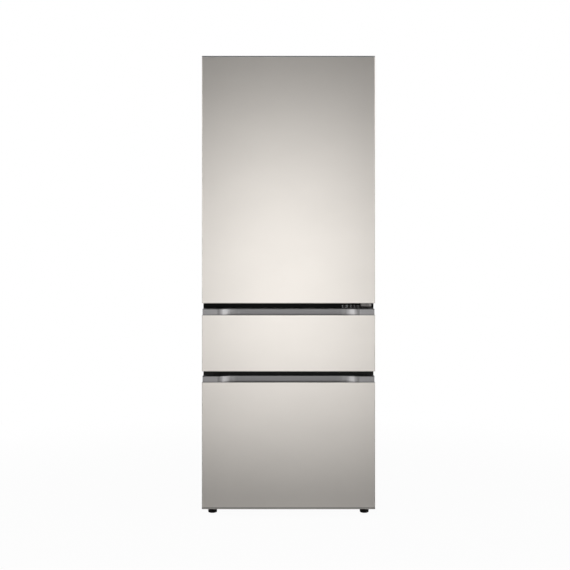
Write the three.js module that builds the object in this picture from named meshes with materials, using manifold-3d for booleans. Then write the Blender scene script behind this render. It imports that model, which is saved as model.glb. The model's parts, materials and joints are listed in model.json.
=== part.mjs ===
// A free-standing three-compartment kimchi refrigerator: one hinged upper door and two drawers.
// Millimetres, +Z up, the front faces -Y, the origin is on the floor under the middle of the object.
// Depths are measured backwards from the face of the door and drawer fronts.
import * as THREE from "three";
import { mergeVertices } from "three/addons/utils/BufferGeometryUtils.js";
import Module from "manifold-3d";

const wasm = await Module();
wasm.setup();

// ---------------------------------------------------------------- driving dimensions

// Outside of the cabinet and its fronts
const WIDTH = 695;
const FRONT_THICKNESS = 68;
const SEAL_GAP = 12;
const CABINET_DEPTH = 611;
const REAR_BEAD = 6;
const CABINET_TOP_DROP = 12;
const BASE_HEIGHT = 36;
const FLOOR_SHEET = 2;

// Heights of the front, from the floor up
const FRONT_BOTTOM = 34;
const LOWER_PANEL_HEIGHT = 507.5;
const MIDDLE_PANEL_HEIGHT = 225;
const UPPER_DOOR_HEIGHT = 991;
const HANDLE_STRIP_HEIGHT = 25.5;
const LOWER_GAP_HEIGHT = 19;
const UPPER_GAP_HEIGHT = 22.5;

// Sheets and clearances
const SHEET = 1.2;
const LINER = 1.5;
const PLASTIC = 2.5;
const CLEAR = 0.3;

// Joined shapes run this far into each other, and cutters this far past the face that they open.
const BITE = 1;

// Seals and insulation
const GASKET_WIDTH = 16;
const LANDING = 8;
const SEAL_SIDE_INSET = 32;
const SEAL_EDGE_INSET = 9;
const SEAL_TOP_INSET = 28;
const SEAL_BOTTOM_INSET = 36;
const REAR_WALL = 62;
const LINER_RADIUS = 18;
const LINER_FLANGE = 6;
const LINER_FLANGE_RADIUS = 3;

// Fronts
const SKIN_DEPTH = 58;
const SKIN_RADIUS = 4;
const SKIN_RETURN = 17;
const CAP_LIP = 4;
const CAP_PLUG = 38;
const DYKE_HEIGHT = 40;
const DYKE_WIDTH = 26;
const DYKE_CLEARANCE = 7.5;
const DYKE_SLOPE = 5;

// Drawer handles: a strip flush at its ends that sweeps back in an S to a finger pocket
const HANDLE_END_INSET = 3;
const HANDLE_FLUSH_END = 54;
const HANDLE_SWEEP = 65;
const HANDLE_RECESS = 28;
const HANDLE_POCKET_DEPTH = 28;
const HANDLE_WALL = 3.5;
const HANDLE_STEPS = 9;

// Upper door hinges and finger groove
const PIN_SIDE_INSET = 29.5;
const PIN_DEPTH = 34;
const PIN_RADIUS = 6;
const PIN_LENGTH = 24;
const ARM_HALF_WIDTH = 12;
const HINGE_PLATE = 4;
const HINGE_LIP = 10;
const HINGE_POCKET_FLOOR = 16;
const GROOVE_END_INSET = 97.5;
const GROOVE_DEPTHS = [14, 48];
const GROOVE_HEIGHT = 22;

// Telescopic rails
const RAIL_HEIGHT = 46;
const RAIL_WIDTH = 13;
const RAIL_SHEET = 1.5;
const RAIL_LIP = 4;
const RAIL_GAP = 0.4;
const RAIL_SETBACK = 6;
const MIDDLE_RAIL_REAR_ROOM = 63;
const LOWER_RAIL_REAR_ROOM = 20;
const RIM_DROP = 46;
const LEDGE_WIDTH = 14;

// Machine compartment
const MACHINE_DEPTH = 190;
const MACHINE_HEIGHT = 215;
const MACHINE_WALL = 45;
const COMPRESSOR_RADIUS = 72;
const COMPRESSOR_HEIGHT = 172;
const COMPRESSOR_SIDE_INSET = 177.5;
const FAN_RADIUS = 62;
const FAN_TO_COMPRESSOR = 160;
const FAN_BLADES = 7;

// Feet and rollers
const FOOT_RADIUS = 18.2;
const FOOT_HEIGHT = 17.2;
const FOOT_SIDE_INSET = 36.5;
const FOOT_SETBACK = 18;
const FOOT_BRACKET_WIDTH = 56;
const STUD_RADIUS = 5;
const ROLLER_RADIUS = 15;
const ROLLER_WIDTH = 18;
const ROLLER_SIDE_INSET = 57.5;
const ROLLER_FROM_REAR = 45;
const AXLE_RADIUS = 4;

// Shelves, bins and kimchi tubs
const SHELF_LEVELS = [300, 600];
const SHELF_THICKNESS = 8;
const SHELF_TRIM_HEIGHT = 20;
const SHELF_FRONT_SETBACK = 114;
const SHELF_REAR_SETBACK = 14;
const SHELF_RIB = 9;
const SHELF_RIB_SETBACK = 18;
const BIN_LEVELS = [110, 430];
const BIN_HEIGHT = 92;
const BIN_DEPTH = 106;
const TUB_RADIUS = 26;
const TUB_RIM = 5;
const TUB_GAP = 8;
const LID_SKIRT = 7;
const LID_THICKNESS = 5;
const LID_REACH = 3;
const SHELF_TUB_SIDE_ROOM = 41.5;
const SHELF_TUB_FRONT_ROOM = 16;
const SHELF_TUB_REAR_ROOM = 45;
const SHELF_TUB_HEADROOM = 95;
const BOX_TUB_SIDE_ROOM = 14;
const BOX_TUB_END_ROOM = 16;
const MIDDLE_TUB_REAR_ROOM = 58.5;
const MIDDLE_TUB_HEADROOM = 27.5;
const LOWER_TUB_HEADROOM = 111;

// ---------------------------------------------------------------- derived places

const HALF_WIDTH = WIDTH / 2;
const FACE = FRONT_THICKNESS + SEAL_GAP;
const CABINET_REAR = FACE + CABINET_DEPTH;
const FRONT_Y = -(CABINET_REAR + REAR_BEAD) / 2;
const LOWER_PANEL = [FRONT_BOTTOM, FRONT_BOTTOM + LOWER_PANEL_HEIGHT];
const LOWER_TOP = LOWER_PANEL[1] + HANDLE_STRIP_HEIGHT;
const MIDDLE_BOTTOM = LOWER_TOP + LOWER_GAP_HEIGHT;
const MIDDLE_PANEL = [MIDDLE_BOTTOM, MIDDLE_BOTTOM + MIDDLE_PANEL_HEIGHT];
const MIDDLE_TOP = MIDDLE_PANEL[1] + HANDLE_STRIP_HEIGHT;
const DOOR_BOTTOM = MIDDLE_TOP + UPPER_GAP_HEIGHT;
const DOOR_TOP = DOOR_BOTTOM + UPPER_DOOR_HEIGHT;
const CABINET_TOP = DOOR_TOP - CABINET_TOP_DROP;
const FLOOR_TOP = BASE_HEIGHT + FLOOR_SHEET;

const SEAL_HALF_WIDTH = HALF_WIDTH - SEAL_SIDE_INSET;
const SEALS = {
  upper: [DOOR_BOTTOM + SEAL_EDGE_INSET, DOOR_TOP - SEAL_TOP_INSET],
  middle: [MIDDLE_BOTTOM + SEAL_EDGE_INSET, MIDDLE_TOP - SEAL_EDGE_INSET],
  lower: [LOWER_PANEL[0] + SEAL_BOTTOM_INSET, LOWER_TOP - SEAL_EDGE_INSET],
};
const SEAL_TO_OPENING = GASKET_WIDTH + LANDING;
const INNER_HALF_WIDTH = SEAL_HALF_WIDTH - SEAL_TO_OPENING;
const INNER_X = [-INNER_HALF_WIDTH, INNER_HALF_WIDTH];
const openingOf = ([low, high]) => [low + SEAL_TO_OPENING, high - SEAL_TO_OPENING];
const OPENINGS = {
  upper: openingOf(SEALS.upper),
  middle: openingOf(SEALS.middle),
  lower: openingOf(SEALS.lower),
};
const INNER_REAR = CABINET_REAR - REAR_WALL;
const MACHINE_FRONT = CABINET_REAR - MACHINE_DEPTH;
const MACHINE_TOP = FLOOR_TOP + MACHINE_HEIGHT;
const STEP_DEPTH = MACHINE_FRONT - MACHINE_WALL;
const STEP_HEIGHT = MACHINE_TOP + MACHINE_WALL;
const RAIL_FRONT = FACE + RAIL_SETBACK;
const RAIL_LENGTH = {
  middle: INNER_REAR - MIDDLE_RAIL_REAR_ROOM - RAIL_FRONT,
  lower: STEP_DEPTH - LOWER_RAIL_REAR_ROOM - RAIL_FRONT,
};
const PIN_X = HALF_WIDTH - PIN_SIDE_INSET;
const GROOVE_HALF_LENGTH = HALF_WIDTH - GROOVE_END_INSET;
const FOOT_X = HALF_WIDTH - FOOT_SIDE_INSET;
const ROLLER_X = HALF_WIDTH - ROLLER_SIDE_INSET;
const COMPRESSOR_X = HALF_WIDTH - COMPRESSOR_SIDE_INSET;
const FAN_X = COMPRESSOR_X - FAN_TO_COMPRESSOR;
const SKIN_INSIDE = SHEET + CLEAR;
const FLANGE_EDGE = LINER_FLANGE + CLEAR;

// ---------------------------------------------------------------- geometry helpers

// The manifold solid of a closed three.js geometry.
function solidOf(geometry) {
  const source = geometry.index ? geometry.toNonIndexed() : geometry;
  const bare = new THREE.BufferGeometry();
  bare.setAttribute("position", source.getAttribute("position"));
  const merged = mergeVertices(bare, 1e-4);
  const vertProperties = merged.attributes.position.array;
  const triVerts = new Uint32Array(merged.index.array);
  return new wasm.Manifold(new wasm.Mesh({ numProp: 3, vertProperties, triVerts }));
}

// The three.js geometry of a manifold solid, with flat shading.
function geometryOf(solid) {
  const mesh = solid.getMesh();
  const positions = new Float32Array(mesh.numVert * 3);
  for (let i = 0; i < mesh.numVert; i++) {
    const start = i * mesh.numProp;
    positions.set(mesh.vertProperties.subarray(start, start + 3), i * 3);
  }
  const geometry = new THREE.BufferGeometry();
  geometry.setAttribute("position", new THREE.BufferAttribute(positions, 3));
  geometry.setIndex(new THREE.BufferAttribute(mesh.triVerts, 1));
  const flat = geometry.toNonIndexed();
  flat.computeVertexNormals();
  return flat;
}

const join = (...solids) => solids.reduce((whole, piece) => whole.add(piece));
const cut = (solid, ...tools) => tools.reduce((rest, tool) => rest.subtract(tool), solid);

// A block between two x values, two depths and two heights.
function block([x0, x1], [d0, d1], [z0, z1]) {
  const box = new THREE.BoxGeometry(x1 - x0, d1 - d0, z1 - z0);
  box.translate((x0 + x1) / 2, FRONT_Y + (d0 + d1) / 2, (z0 + z1) / 2);
  return solidOf(box);
}

// A plan outline of [x, depth] points, extruded between two heights.
function prism(points, [z0, z1]) {
  const shape = new THREE.Shape(points.map(([x, d]) => new THREE.Vector2(x, FRONT_Y + d)));
  const geometry = new THREE.ExtrudeGeometry(shape, { depth: z1 - z0, bevelEnabled: false });
  geometry.translate(0, 0, z0);
  return solidOf(geometry);
}

// A cross-section of [x, z] points, extruded between two depths.
function bar(points, [d0, d1]) {
  const shape = new THREE.Shape(points.map(([x, z]) => new THREE.Vector2(x, z)));
  const geometry = new THREE.ExtrudeGeometry(shape, { depth: d1 - d0, bevelEnabled: false });
  geometry.rotateX(Math.PI / 2);
  geometry.translate(0, FRONT_Y + d1, 0);
  return solidOf(geometry);
}

// A solid of revolution about a vertical line through (x, depth); the profile is [radius, z].
function turned(profile, x, depth, segments = 24) {
  const points = profile.map(([r, z]) => new THREE.Vector2(r, z));
  const geometry = new THREE.LatheGeometry(points, segments);
  geometry.rotateX(Math.PI / 2);
  geometry.translate(x, FRONT_Y + depth, 0);
  return solidOf(geometry);
}

// The same about a line along x through (depth, z); the profile is [radius, x].
// Half a step of turn lays a flat of the polygon underneath.
function wheel(profile, depth, z, segments = 24) {
  const points = profile.map(([r, x]) => new THREE.Vector2(r, x));
  const geometry = new THREE.LatheGeometry(points, segments);
  geometry.rotateY(Math.PI / segments);
  geometry.rotateZ(-Math.PI / 2);
  geometry.translate(0, FRONT_Y + depth, z);
  return solidOf(geometry);
}

// A cross-section of [depth, z] points, extruded between two x values.
function beam(points, [x0, x1]) {
  const shape = new THREE.Shape(points.map(([d, z]) => new THREE.Vector2(FRONT_Y + d, z)));
  const geometry = new THREE.ExtrudeGeometry(shape, { depth: x1 - x0, bevelEnabled: false });
  geometry.rotateX(Math.PI / 2);
  geometry.rotateZ(Math.PI / 2);
  geometry.translate(x0, 0, 0);
  return solidOf(geometry);
}

// A round post between two heights, and a round rod between two x values.
const post = (radius, [z0, z1], x, depth, segments) =>
  turned([[0, z0], [radius, z0], [radius, z1], [0, z1]], x, depth, segments);
const rod = (radius, [x0, x1], depth, z, segments) =>
  wheel([[0, x0], [radius, x0], [radius, x1], [0, x1]], depth, z, segments);

// One ring of a rounded rectangle, anticlockwise as seen against `level`'s direction.
const CORNER_STEPS = 3;
function ring([a0, a1], [b0, b1], radius, level) {
  const corners = [
    [a1 - radius, b1 - radius, 0],
    [a0 + radius, b1 - radius, 1],
    [a0 + radius, b0 + radius, 2],
    [a1 - radius, b0 + radius, 3],
  ];
  const points = [];
  for (const [a, b, quarter] of corners) {
    for (let i = 0; i <= CORNER_STEPS; i++) {
      const angle = (quarter + i / CORNER_STEPS) * (Math.PI / 2);
      points.push([a + radius * Math.cos(angle), b + radius * Math.sin(angle), level]);
    }
  }
  return points;
}

const grown = ([low, high], by) => [low - by, high + by];

// A closed skin through a run of rings with the same number of points, capped at both ends.
// `place` turns a ring point into [x, y, z].
function loft(rings, place) {
  const count = rings[0].length;
  const positions = [];
  const face = (a, b, c) => positions.push(...place(a), ...place(b), ...place(c));
  for (let i = 0; i + 1 < rings.length; i++) {
    for (let j = 0; j < count; j++) {
      const k = (j + 1) % count;
      face(rings[i][j], rings[i][k], rings[i + 1][k]);
      face(rings[i][j], rings[i + 1][k], rings[i + 1][j]);
    }
  }
  const first = rings[0];
  const last = rings[rings.length - 1];
  for (let j = 1; j + 1 < count; j++) {
    face(first[0], first[j + 1], first[j]);
    face(last[0], last[j], last[j + 1]);
  }
  const geometry = new THREE.BufferGeometry();
  geometry.setAttribute("position", new THREE.Float32BufferAttribute(positions, 3));
  return solidOf(geometry);
}

// Rings of [x, depth] stacked upwards, and rings of [x, z] stacked backwards.
const upright = (rings) => loft(rings, ([x, d, z]) => [x, FRONT_Y + d, z]);
const inward = (rings) => loft([...rings].reverse(), ([x, z, d]) => [x, FRONT_Y + d, z]);

// A mitred frame: a closed profile of [inset, depth] points swept round a rectangle.
function mitred(profile, [x0, x1], [z0, z1]) {
  const corners = ([inset, d]) => [
    [x0 + inset, FRONT_Y + d, z0 + inset],
    [x1 - inset, FRONT_Y + d, z0 + inset],
    [x1 - inset, FRONT_Y + d, z1 - inset],
    [x0 + inset, FRONT_Y + d, z1 - inset],
  ];
  const loops = profile.map(corners);
  const positions = [];
  loops.forEach((loop, i) => {
    const next = loops[(i + 1) % loops.length];
    for (let j = 0; j < 4; j++) {
      const k = (j + 1) % 4;
      positions.push(...loop[j], ...loop[k], ...next[k]);
      positions.push(...loop[j], ...next[k], ...next[j]);
    }
  });
  const geometry = new THREE.BufferGeometry();
  geometry.setAttribute("position", new THREE.Float32BufferAttribute(positions, 3));
  return solidOf(geometry);
}

const SIDES = { left: -1, right: 1 };
const mirrored = (side, [near, far]) => (side > 0 ? [near, far] : [-far, -near]);

// ---------------------------------------------------------------- materials and the assembly

const material = (color, roughness, metalness) =>
  new THREE.MeshStandardMaterial({ color, roughness, metalness, flatShading: true });
const FINISHES = {
  frontMetal: material(0xd9d5cf, 0.38, 0.75),
  cabinetMetal: material(0x8f8d8a, 0.45, 0.6),
  zincSteel: material(0x9b9d9e, 0.4, 0.9),
  handleMetal: material(0x8b898a, 0.3, 1),
  blackPlastic: material(0x141313, 0.45, 0),
  blackGloss: material(0x0c0a0a, 0.12, 0),
  whiteLiner: material(0xeef0f0, 0.4, 0),
  foam: material(0xe4d9b0, 0.95, 0),
  rubberGrey: material(0x6f7072, 0.8, 0),
  compressorBlack: material(0x1b1c1e, 0.35, 0.3),
  shelfClear: material(0xdfe7ea, 0.2, 0),
  tubIvory: material(0xe9e6dc, 0.35, 0),
  lidGrey: material(0x8c9296, 0.45, 0),
  hingeSteel: material(0x7d7875, 0.4, 0.8),
};

const refrigerator = new THREE.Group();

function addPiece(name, solid, finish, group = refrigerator) {
  const mesh = new THREE.Mesh(geometryOf(solid), FINISHES[finish]);
  mesh.name = name;
  group.add(mesh);
}

// ---------------------------------------------------------------- cabinet

// The inside of a compartment, grown on all sides but the front, which runs `ahead` of the face.
function compartment(zone, grow, ahead = 0) {
  const x = grown(INNER_X, grow);
  const z = grown(OPENINGS[zone], grow);
  const radius = LINER_RADIUS + grow;
  const rear = zone === "lower" ? STEP_DEPTH : INNER_REAR;
  const main = inward([ring(x, z, radius, FACE - ahead), ring(x, z, radius, rear + grow)]);
  if (zone !== "lower") return main;
  const shelfZ = grown([STEP_HEIGHT, OPENINGS.lower[1]], grow);
  const overStep = inward([
    ring(x, shelfZ, radius, STEP_DEPTH - LINER_RADIUS),
    ring(x, shelfZ, radius, INNER_REAR + grow),
  ]);
  return join(main, overStep);
}

function linerOf(zone) {
  const x = grown(INNER_X, LINER_FLANGE);
  const z = grown(OPENINGS[zone], LINER_FLANGE);
  const flange = inward([
    ring(x, z, LINER_FLANGE_RADIUS, FACE),
    ring(x, z, LINER_FLANGE_RADIUS, FACE + LINER),
  ]);
  return cut(join(compartment(zone, LINER), flange), compartment(zone, 0, BITE));
}

// Ribs moulded in the upper liner's side walls carry the shelves.
function shelfRibs() {
  const front = FACE + SHELF_FRONT_SETBACK + SHELF_RIB_SETBACK;
  const depths = [front, INNER_REAR - SHELF_REAR_SETBACK];
  return SHELF_LEVELS.flatMap((level) =>
    Object.values(SIDES).map((side) => {
      const top = OPENINGS.upper[0] + level - SHELF_THICKNESS - CLEAR;
      const x = mirrored(side, [INNER_HALF_WIDTH - SHELF_RIB, INNER_HALF_WIDTH + LINER / 2]);
      return block(x, depths, [top - SHELF_RIB, top]);
    }),
  );
}

// An upside-down U of sheet: two sides and a roof, between the outside and an inner edge.
function archOutline(innerHalf, innerTop) {
  return [
    [-HALF_WIDTH, BASE_HEIGHT],
    [-innerHalf, BASE_HEIGHT],
    [-innerHalf, innerTop],
    [innerHalf, innerTop],
    [innerHalf, BASE_HEIGHT],
    [HALF_WIDTH, BASE_HEIGHT],
    [HALF_WIDTH, CABINET_TOP],
    [-HALF_WIDTH, CABINET_TOP],
  ];
}

// The wrapper's walls, and the flange turned inwards at its front edge.
function cabinetShell() {
  const walls = bar(archOutline(HALF_WIDTH - SHEET, CABINET_TOP - SHEET), [FACE, CABINET_REAR]);
  const flange = bar(
    archOutline(INNER_HALF_WIDTH + FLANGE_EDGE, OPENINGS.upper[1] + FLANGE_EDGE),
    [FACE, FACE + SHEET],
  );
  return join(walls, flange);
}

function insulationFoam() {
  const half = HALF_WIDTH - SHEET - CLEAR;
  const core = block(
    [-half, half],
    [FACE + LINER + CLEAR, CABINET_REAR - SHEET - CLEAR],
    [FLOOR_TOP + CLEAR, CABINET_TOP - SHEET - CLEAR],
  );
  const machineRoom = block(
    [-WIDTH, WIDTH],
    [MACHINE_FRONT - SHEET - CLEAR, CABINET_REAR],
    [0, MACHINE_TOP + SHEET + CLEAR],
  );
  const linerSpace = LINER + CLEAR;
  const hollows = Object.keys(OPENINGS).map((zone) => compartment(zone, linerSpace, BITE));
  return cut(core, machineRoom, ...hollows);
}

// The floor sheet turns up at the front, and up and over the machine compartment at the back.
function basePlate() {
  const half = HALF_WIDTH - SHEET - CLEAR;
  const edge = INNER_HALF_WIDTH + LINER_FLANGE;
  const rear = CABINET_REAR - SHEET - CLEAR;
  const apronTop = OPENINGS.lower[0] - FLANGE_EDGE;
  const roomDepths = [MACHINE_FRONT - SHEET, rear];
  const roomHeights = [BASE_HEIGHT, MACHINE_TOP + SHEET];
  const floor = block([-half, half], [FACE + SHEET + CLEAR, rear], [BASE_HEIGHT, FLOOR_TOP]);
  const apron = block([-edge, edge], [FACE, FACE + LINER], [BASE_HEIGHT, apronTop]);
  const riser = block([-half, half], [MACHINE_FRONT - SHEET, MACHINE_FRONT], roomHeights);
  const ceiling = block([-half, half], roomDepths, [MACHINE_TOP, MACHINE_TOP + SHEET]);
  const cheek = (side) => block(mirrored(side, [half - SHEET, half]), roomDepths, roomHeights);
  const pieces = [floor, apron, riser, ceiling, cheek(1), cheek(-1)];
  const holes = [];
  for (const side of Object.values(SIDES)) {
    pieces.push(footBracket(side));
    holes.push(studHole(side));
    pieces.push(...rollerCheeks(side));
    holes.push(axleHole(side));
  }
  return cut(join(...pieces), ...holes);
}

const FOOT_DEPTH = FACE + FOOT_SETBACK;
const BRACKET_SLOPE = 8;

// A pressed channel under the front corner, with sloping ends, that takes the foot's thread.
function footBracket(side) {
  const x0 = side * FOOT_X - FOOT_BRACKET_WIDTH / 2;
  const x1 = x0 + FOOT_BRACKET_WIDTH;
  const low = FOOT_HEIGHT + CLEAR;
  const outline = [
    [x0 + BRACKET_SLOPE, low],
    [x1 - BRACKET_SLOPE, low],
    [x1, low + BRACKET_SLOPE],
    [x1, BASE_HEIGHT + BITE],
    [x0, BASE_HEIGHT + BITE],
    [x0, low + BRACKET_SLOPE],
  ];
  return bar(outline, [FACE + SHEET + CLEAR, FOOT_DEPTH + FOOT_RADIUS]);
}

const STUD_TOP = BASE_HEIGHT - 4;
const studHole = (side) =>
  post(STUD_RADIUS + CLEAR, [0, STUD_TOP + CLEAR], side * FOOT_X, FOOT_DEPTH, 16);

const ROLLER_DEPTH = CABINET_REAR - ROLLER_FROM_REAR;
const CHEEK = 3;

function rollerCheeks(side) {
  const centre = side * ROLLER_X;
  const reach = ROLLER_WIDTH / 2 + CLEAR;
  const depths = [ROLLER_DEPTH - ROLLER_RADIUS, ROLLER_DEPTH + ROLLER_RADIUS];
  const heights = [ROLLER_RADIUS - 2 * AXLE_RADIUS, BASE_HEIGHT + BITE];
  return [
    block([centre - reach - CHEEK, centre - reach], depths, heights),
    block([centre + reach, centre + reach + CHEEK], depths, heights),
  ];
}

function axleHole(side) {
  const reach = ROLLER_WIDTH / 2 + CHEEK + 2 * BITE;
  const x = side * ROLLER_X;
  return rod(AXLE_RADIUS + CLEAR, [x - reach, x + reach], ROLLER_DEPTH, ROLLER_RADIUS, 12);
}

// Pressed steel back with upright stiffening beads.
function backPanel() {
  const half = HALF_WIDTH - SHEET - CLEAR;
  const beads = 5;
  const beadWidth = 70;
  const slope = 8;
  const pitch = (2 * half) / beads;
  const outer = [];
  for (let i = 0; i < beads; i++) {
    const centre = -half + (i + 0.5) * pitch;
    const foot = beadWidth / 2;
    outer.push([centre - foot, CABINET_REAR]);
    outer.push([centre - foot + slope, CABINET_REAR + REAR_BEAD]);
    outer.push([centre + foot - slope, CABINET_REAR + REAR_BEAD]);
    outer.push([centre + foot, CABINET_REAR]);
  }
  const rear = [[-half, CABINET_REAR], ...outer, [half, CABINET_REAR]];
  const front = rear.map(([x, d]) => [x, d - SHEET]).reverse();
  return prism([...rear, ...front], [MACHINE_TOP + SHEET + CLEAR, CABINET_TOP - SHEET - CLEAR]);
}

// Louvred cover of the machine compartment, with the mains lead's gland in its corner.
function machineCover() {
  const half = HALF_WIDTH - SHEET - CLEAR;
  const heights = [FLOOR_TOP - 1, MACHINE_TOP + SHEET];
  const sheet = block([-half, half], [CABINET_REAR - SHEET, CABINET_REAR], heights);
  const slot = { length: 120, height: 5, columns: 3, columnPitch: 150, rows: 8, rowPitch: 18 };
  const slotMargin = { x: 46, z: 38 };
  const slotDepths = grown([CABINET_REAR - SHEET, CABINET_REAR], BITE);
  const slots = [];
  for (let column = 0; column < slot.columns; column++) {
    const start = -half + slotMargin.x + column * slot.columnPitch;
    for (let row = 0; row < slot.rows; row++) {
      const low = FLOOR_TOP + slotMargin.z + row * slot.rowPitch;
      slots.push(block([start, start + slot.length], slotDepths, [low, low + slot.height]));
    }
  }
  const glandInset = 45;
  const gland = cordGland(half - glandInset, FLOOR_TOP + glandInset);
  return join(cut(sheet, ...slots), gland);
}

function cordGland(x, z) {
  const outer = 12;
  const inner = 5;
  const rim = 2;
  const taper = 3;
  const length = REAR_BEAD - 1;
  const profile = [
    [inner, 0],
    [outer, 0],
    [outer, rim],
    [outer - taper, length],
    [inner, length],
    [inner, 0],
  ];
  const flare = new THREE.LatheGeometry(profile.map(([r, y]) => new THREE.Vector2(r, y)), 16);
  flare.translate(x, FRONT_Y + CABINET_REAR - SHEET / 2, z);
  return solidOf(flare);
}

// ---------------------------------------------------------------- cross bars and the display strip

const MULLION_FRONT = FACE - CLEAR;

function mullionPlate(lowZone, highZone) {
  const half = INNER_HALF_WIDTH + LINER_FLANGE;
  const heights = [OPENINGS[lowZone][1] + FLANGE_EDGE, OPENINGS[highZone][0] - FLANGE_EDGE];
  return block([-half, half], [MULLION_FRONT, FACE + LINER], heights);
}

const STRIP_HALF_WIDTH = HALF_WIDTH - 1;
const STRIP_X = [-STRIP_HALF_WIDTH, STRIP_HALF_WIDTH];
const STRIP_MARGIN = 1.5;
const STRIP_EDGE = 1.5;
const STRIP_FRONT = FACE - 11;

// The lower cross bar carries a dark trim that fills the gap between the two drawers.
function lowerMullion() {
  const thickness = 6;
  const overlap = 4;
  const trimZ = [LOWER_TOP - overlap, MIDDLE_BOTTOM + overlap];
  const trim = block(STRIP_X, [FACE - thickness, MULLION_FRONT], trimZ);
  const key = block(INNER_X, [FACE - thickness / 2, FACE + LINER / 2], trimZ);
  return join(mullionPlate("lower", "middle"), trim, key);
}

const BRACKET_HALF_WIDTH = 16;
const BRACKET_SPREAD = 24.5;
const BRACKET_X = [PIN_X - BRACKET_SPREAD, PIN_X + BRACKET_HALF_WIDTH];
const BRACKET_TOP = DOOR_BOTTOM - 2;
const BRACKET_LIP = 11;
const BRACKET_WALL = 3;
const BRACKET_FLANGE = 4;
const BRACKET_FLANGE_Z = [MIDDLE_TOP - 5, BRACKET_TOP];
const BRACKET_ROOM = 1;

// A glossy bar with the display and touch keys behind its face; the hinge bracket crosses its end.
function controlPanel() {
  const z = [MIDDLE_TOP + STRIP_MARGIN, DOOR_BOTTOM - STRIP_MARGIN];
  const rear = MULLION_FRONT - CLEAR;
  const section = [
    [STRIP_FRONT + STRIP_EDGE, z[0]],
    [rear, z[0]],
    [rear, z[1]],
    [STRIP_FRONT + STRIP_EDGE, z[1]],
    [STRIP_FRONT, z[1] - STRIP_EDGE],
    [STRIP_FRONT, z[0] + STRIP_EDGE],
  ];
  const armRoom = block(
    grown(BRACKET_X, BRACKET_ROOM),
    [0, CABINET_REAR],
    [BRACKET_TOP - BRACKET_LIP - BRACKET_ROOM, DOOR_BOTTOM],
  );
  const flangeRoom = block(
    grown(BRACKET_X, CLEAR),
    [FACE - BRACKET_FLANGE - CLEAR, FACE],
    grown(BRACKET_FLANGE_Z, CLEAR),
  );
  return cut(beam(section, STRIP_X), armRoom, flangeRoom);
}

// ---------------------------------------------------------------- upper door hinges

// A plan outline round the pin, open towards the back at `rear`.
function armOutline(halfWidth, rear, [x0, x1] = [PIN_X - halfWidth, PIN_X + halfWidth]) {
  const points = [[x1, rear], [x0, rear]];
  const steps = 8;
  for (let i = 0; i <= steps; i++) {
    const angle = Math.PI + (i / steps) * Math.PI;
    const x = i === 0 ? x0 : i === steps ? x1 : PIN_X + halfWidth * Math.cos(angle);
    points.push([x, PIN_DEPTH + halfWidth * Math.sin(angle)]);
  }
  return points;
}

const pin = (heights, radius = PIN_RADIUS) => post(radius, heights, PIN_X, PIN_DEPTH, 20);

const HINGE_BASE_X = [PIN_X - 26, PIN_X + 22];
const HINGE_BASE_DEPTHS = [FACE + 12, FACE + 92];
const HINGE_BASE_Z = CABINET_TOP + CLEAR;

function topHinge() {
  const z = [HINGE_BASE_Z, HINGE_BASE_Z + HINGE_PLATE];
  const arm = prism(armOutline(ARM_HALF_WIDTH, HINGE_BASE_DEPTHS[0] + ARM_HALF_WIDTH), z);
  const base = block(HINGE_BASE_X, HINGE_BASE_DEPTHS, z);
  return join(arm, base, pin([z[0] - PIN_LENGTH, z[0] + BITE]));
}

function hingeCover() {
  const wall = 2;
  const gap = 1;
  const corner = { outside: 6, inside: 2 };
  const edge = { in: 2, down: 3 };
  const insideX = grown(HINGE_BASE_X, gap);
  const insideD = grown(HINGE_BASE_DEPTHS, gap);
  const outsideX = grown(insideX, wall);
  const outsideD = grown(insideD, wall);
  const top = DOOR_TOP - 1;
  const shell = upright([
    ring(outsideX, outsideD, corner.outside, HINGE_BASE_Z),
    ring(outsideX, outsideD, corner.outside, top - edge.down),
    ring(grown(outsideX, -edge.in), grown(outsideD, -edge.in), corner.outside, top),
  ]);
  const hollow = upright([
    ring(insideX, insideD, corner.inside, HINGE_BASE_Z - BITE),
    ring(insideX, insideD, corner.inside, top - wall),
  ]);
  const armSlot = block(
    grown([PIN_X - ARM_HALF_WIDTH, PIN_X + ARM_HALF_WIDTH], gap),
    [FACE, HINGE_BASE_DEPTHS[0]],
    [HINGE_BASE_Z - BITE, HINGE_BASE_Z + HINGE_PLATE + gap],
  );
  return cut(shell, hollow, armSlot);
}

// The bracket between door and drawer: a pressed arm with a turned-down lip, on a flange.
function middleHinge() {
  const outline = armOutline(BRACKET_HALF_WIDTH, FACE - BRACKET_FLANGE / 2, BRACKET_X);
  const plate = prism(outline, [BRACKET_TOP - HINGE_PLATE, BRACKET_TOP]);
  const lip = prism(outline, [BRACKET_TOP - BRACKET_LIP, BRACKET_TOP - BITE]);
  const insideLip = prism(
    armOutline(BRACKET_HALF_WIDTH - BRACKET_WALL, FACE, grown(BRACKET_X, -BRACKET_WALL)),
    [BRACKET_TOP - BRACKET_LIP - BITE, BRACKET_TOP - HINGE_PLATE],
  );
  const flange = block(BRACKET_X, [FACE - BRACKET_FLANGE, MULLION_FRONT - CLEAR], BRACKET_FLANGE_Z);
  const upperPin = pin([BRACKET_TOP - BITE, BRACKET_TOP + PIN_LENGTH]);
  return join(plate, cut(lip, insideLip), flange, upperPin);
}

// ---------------------------------------------------------------- door and drawer fronts

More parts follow.
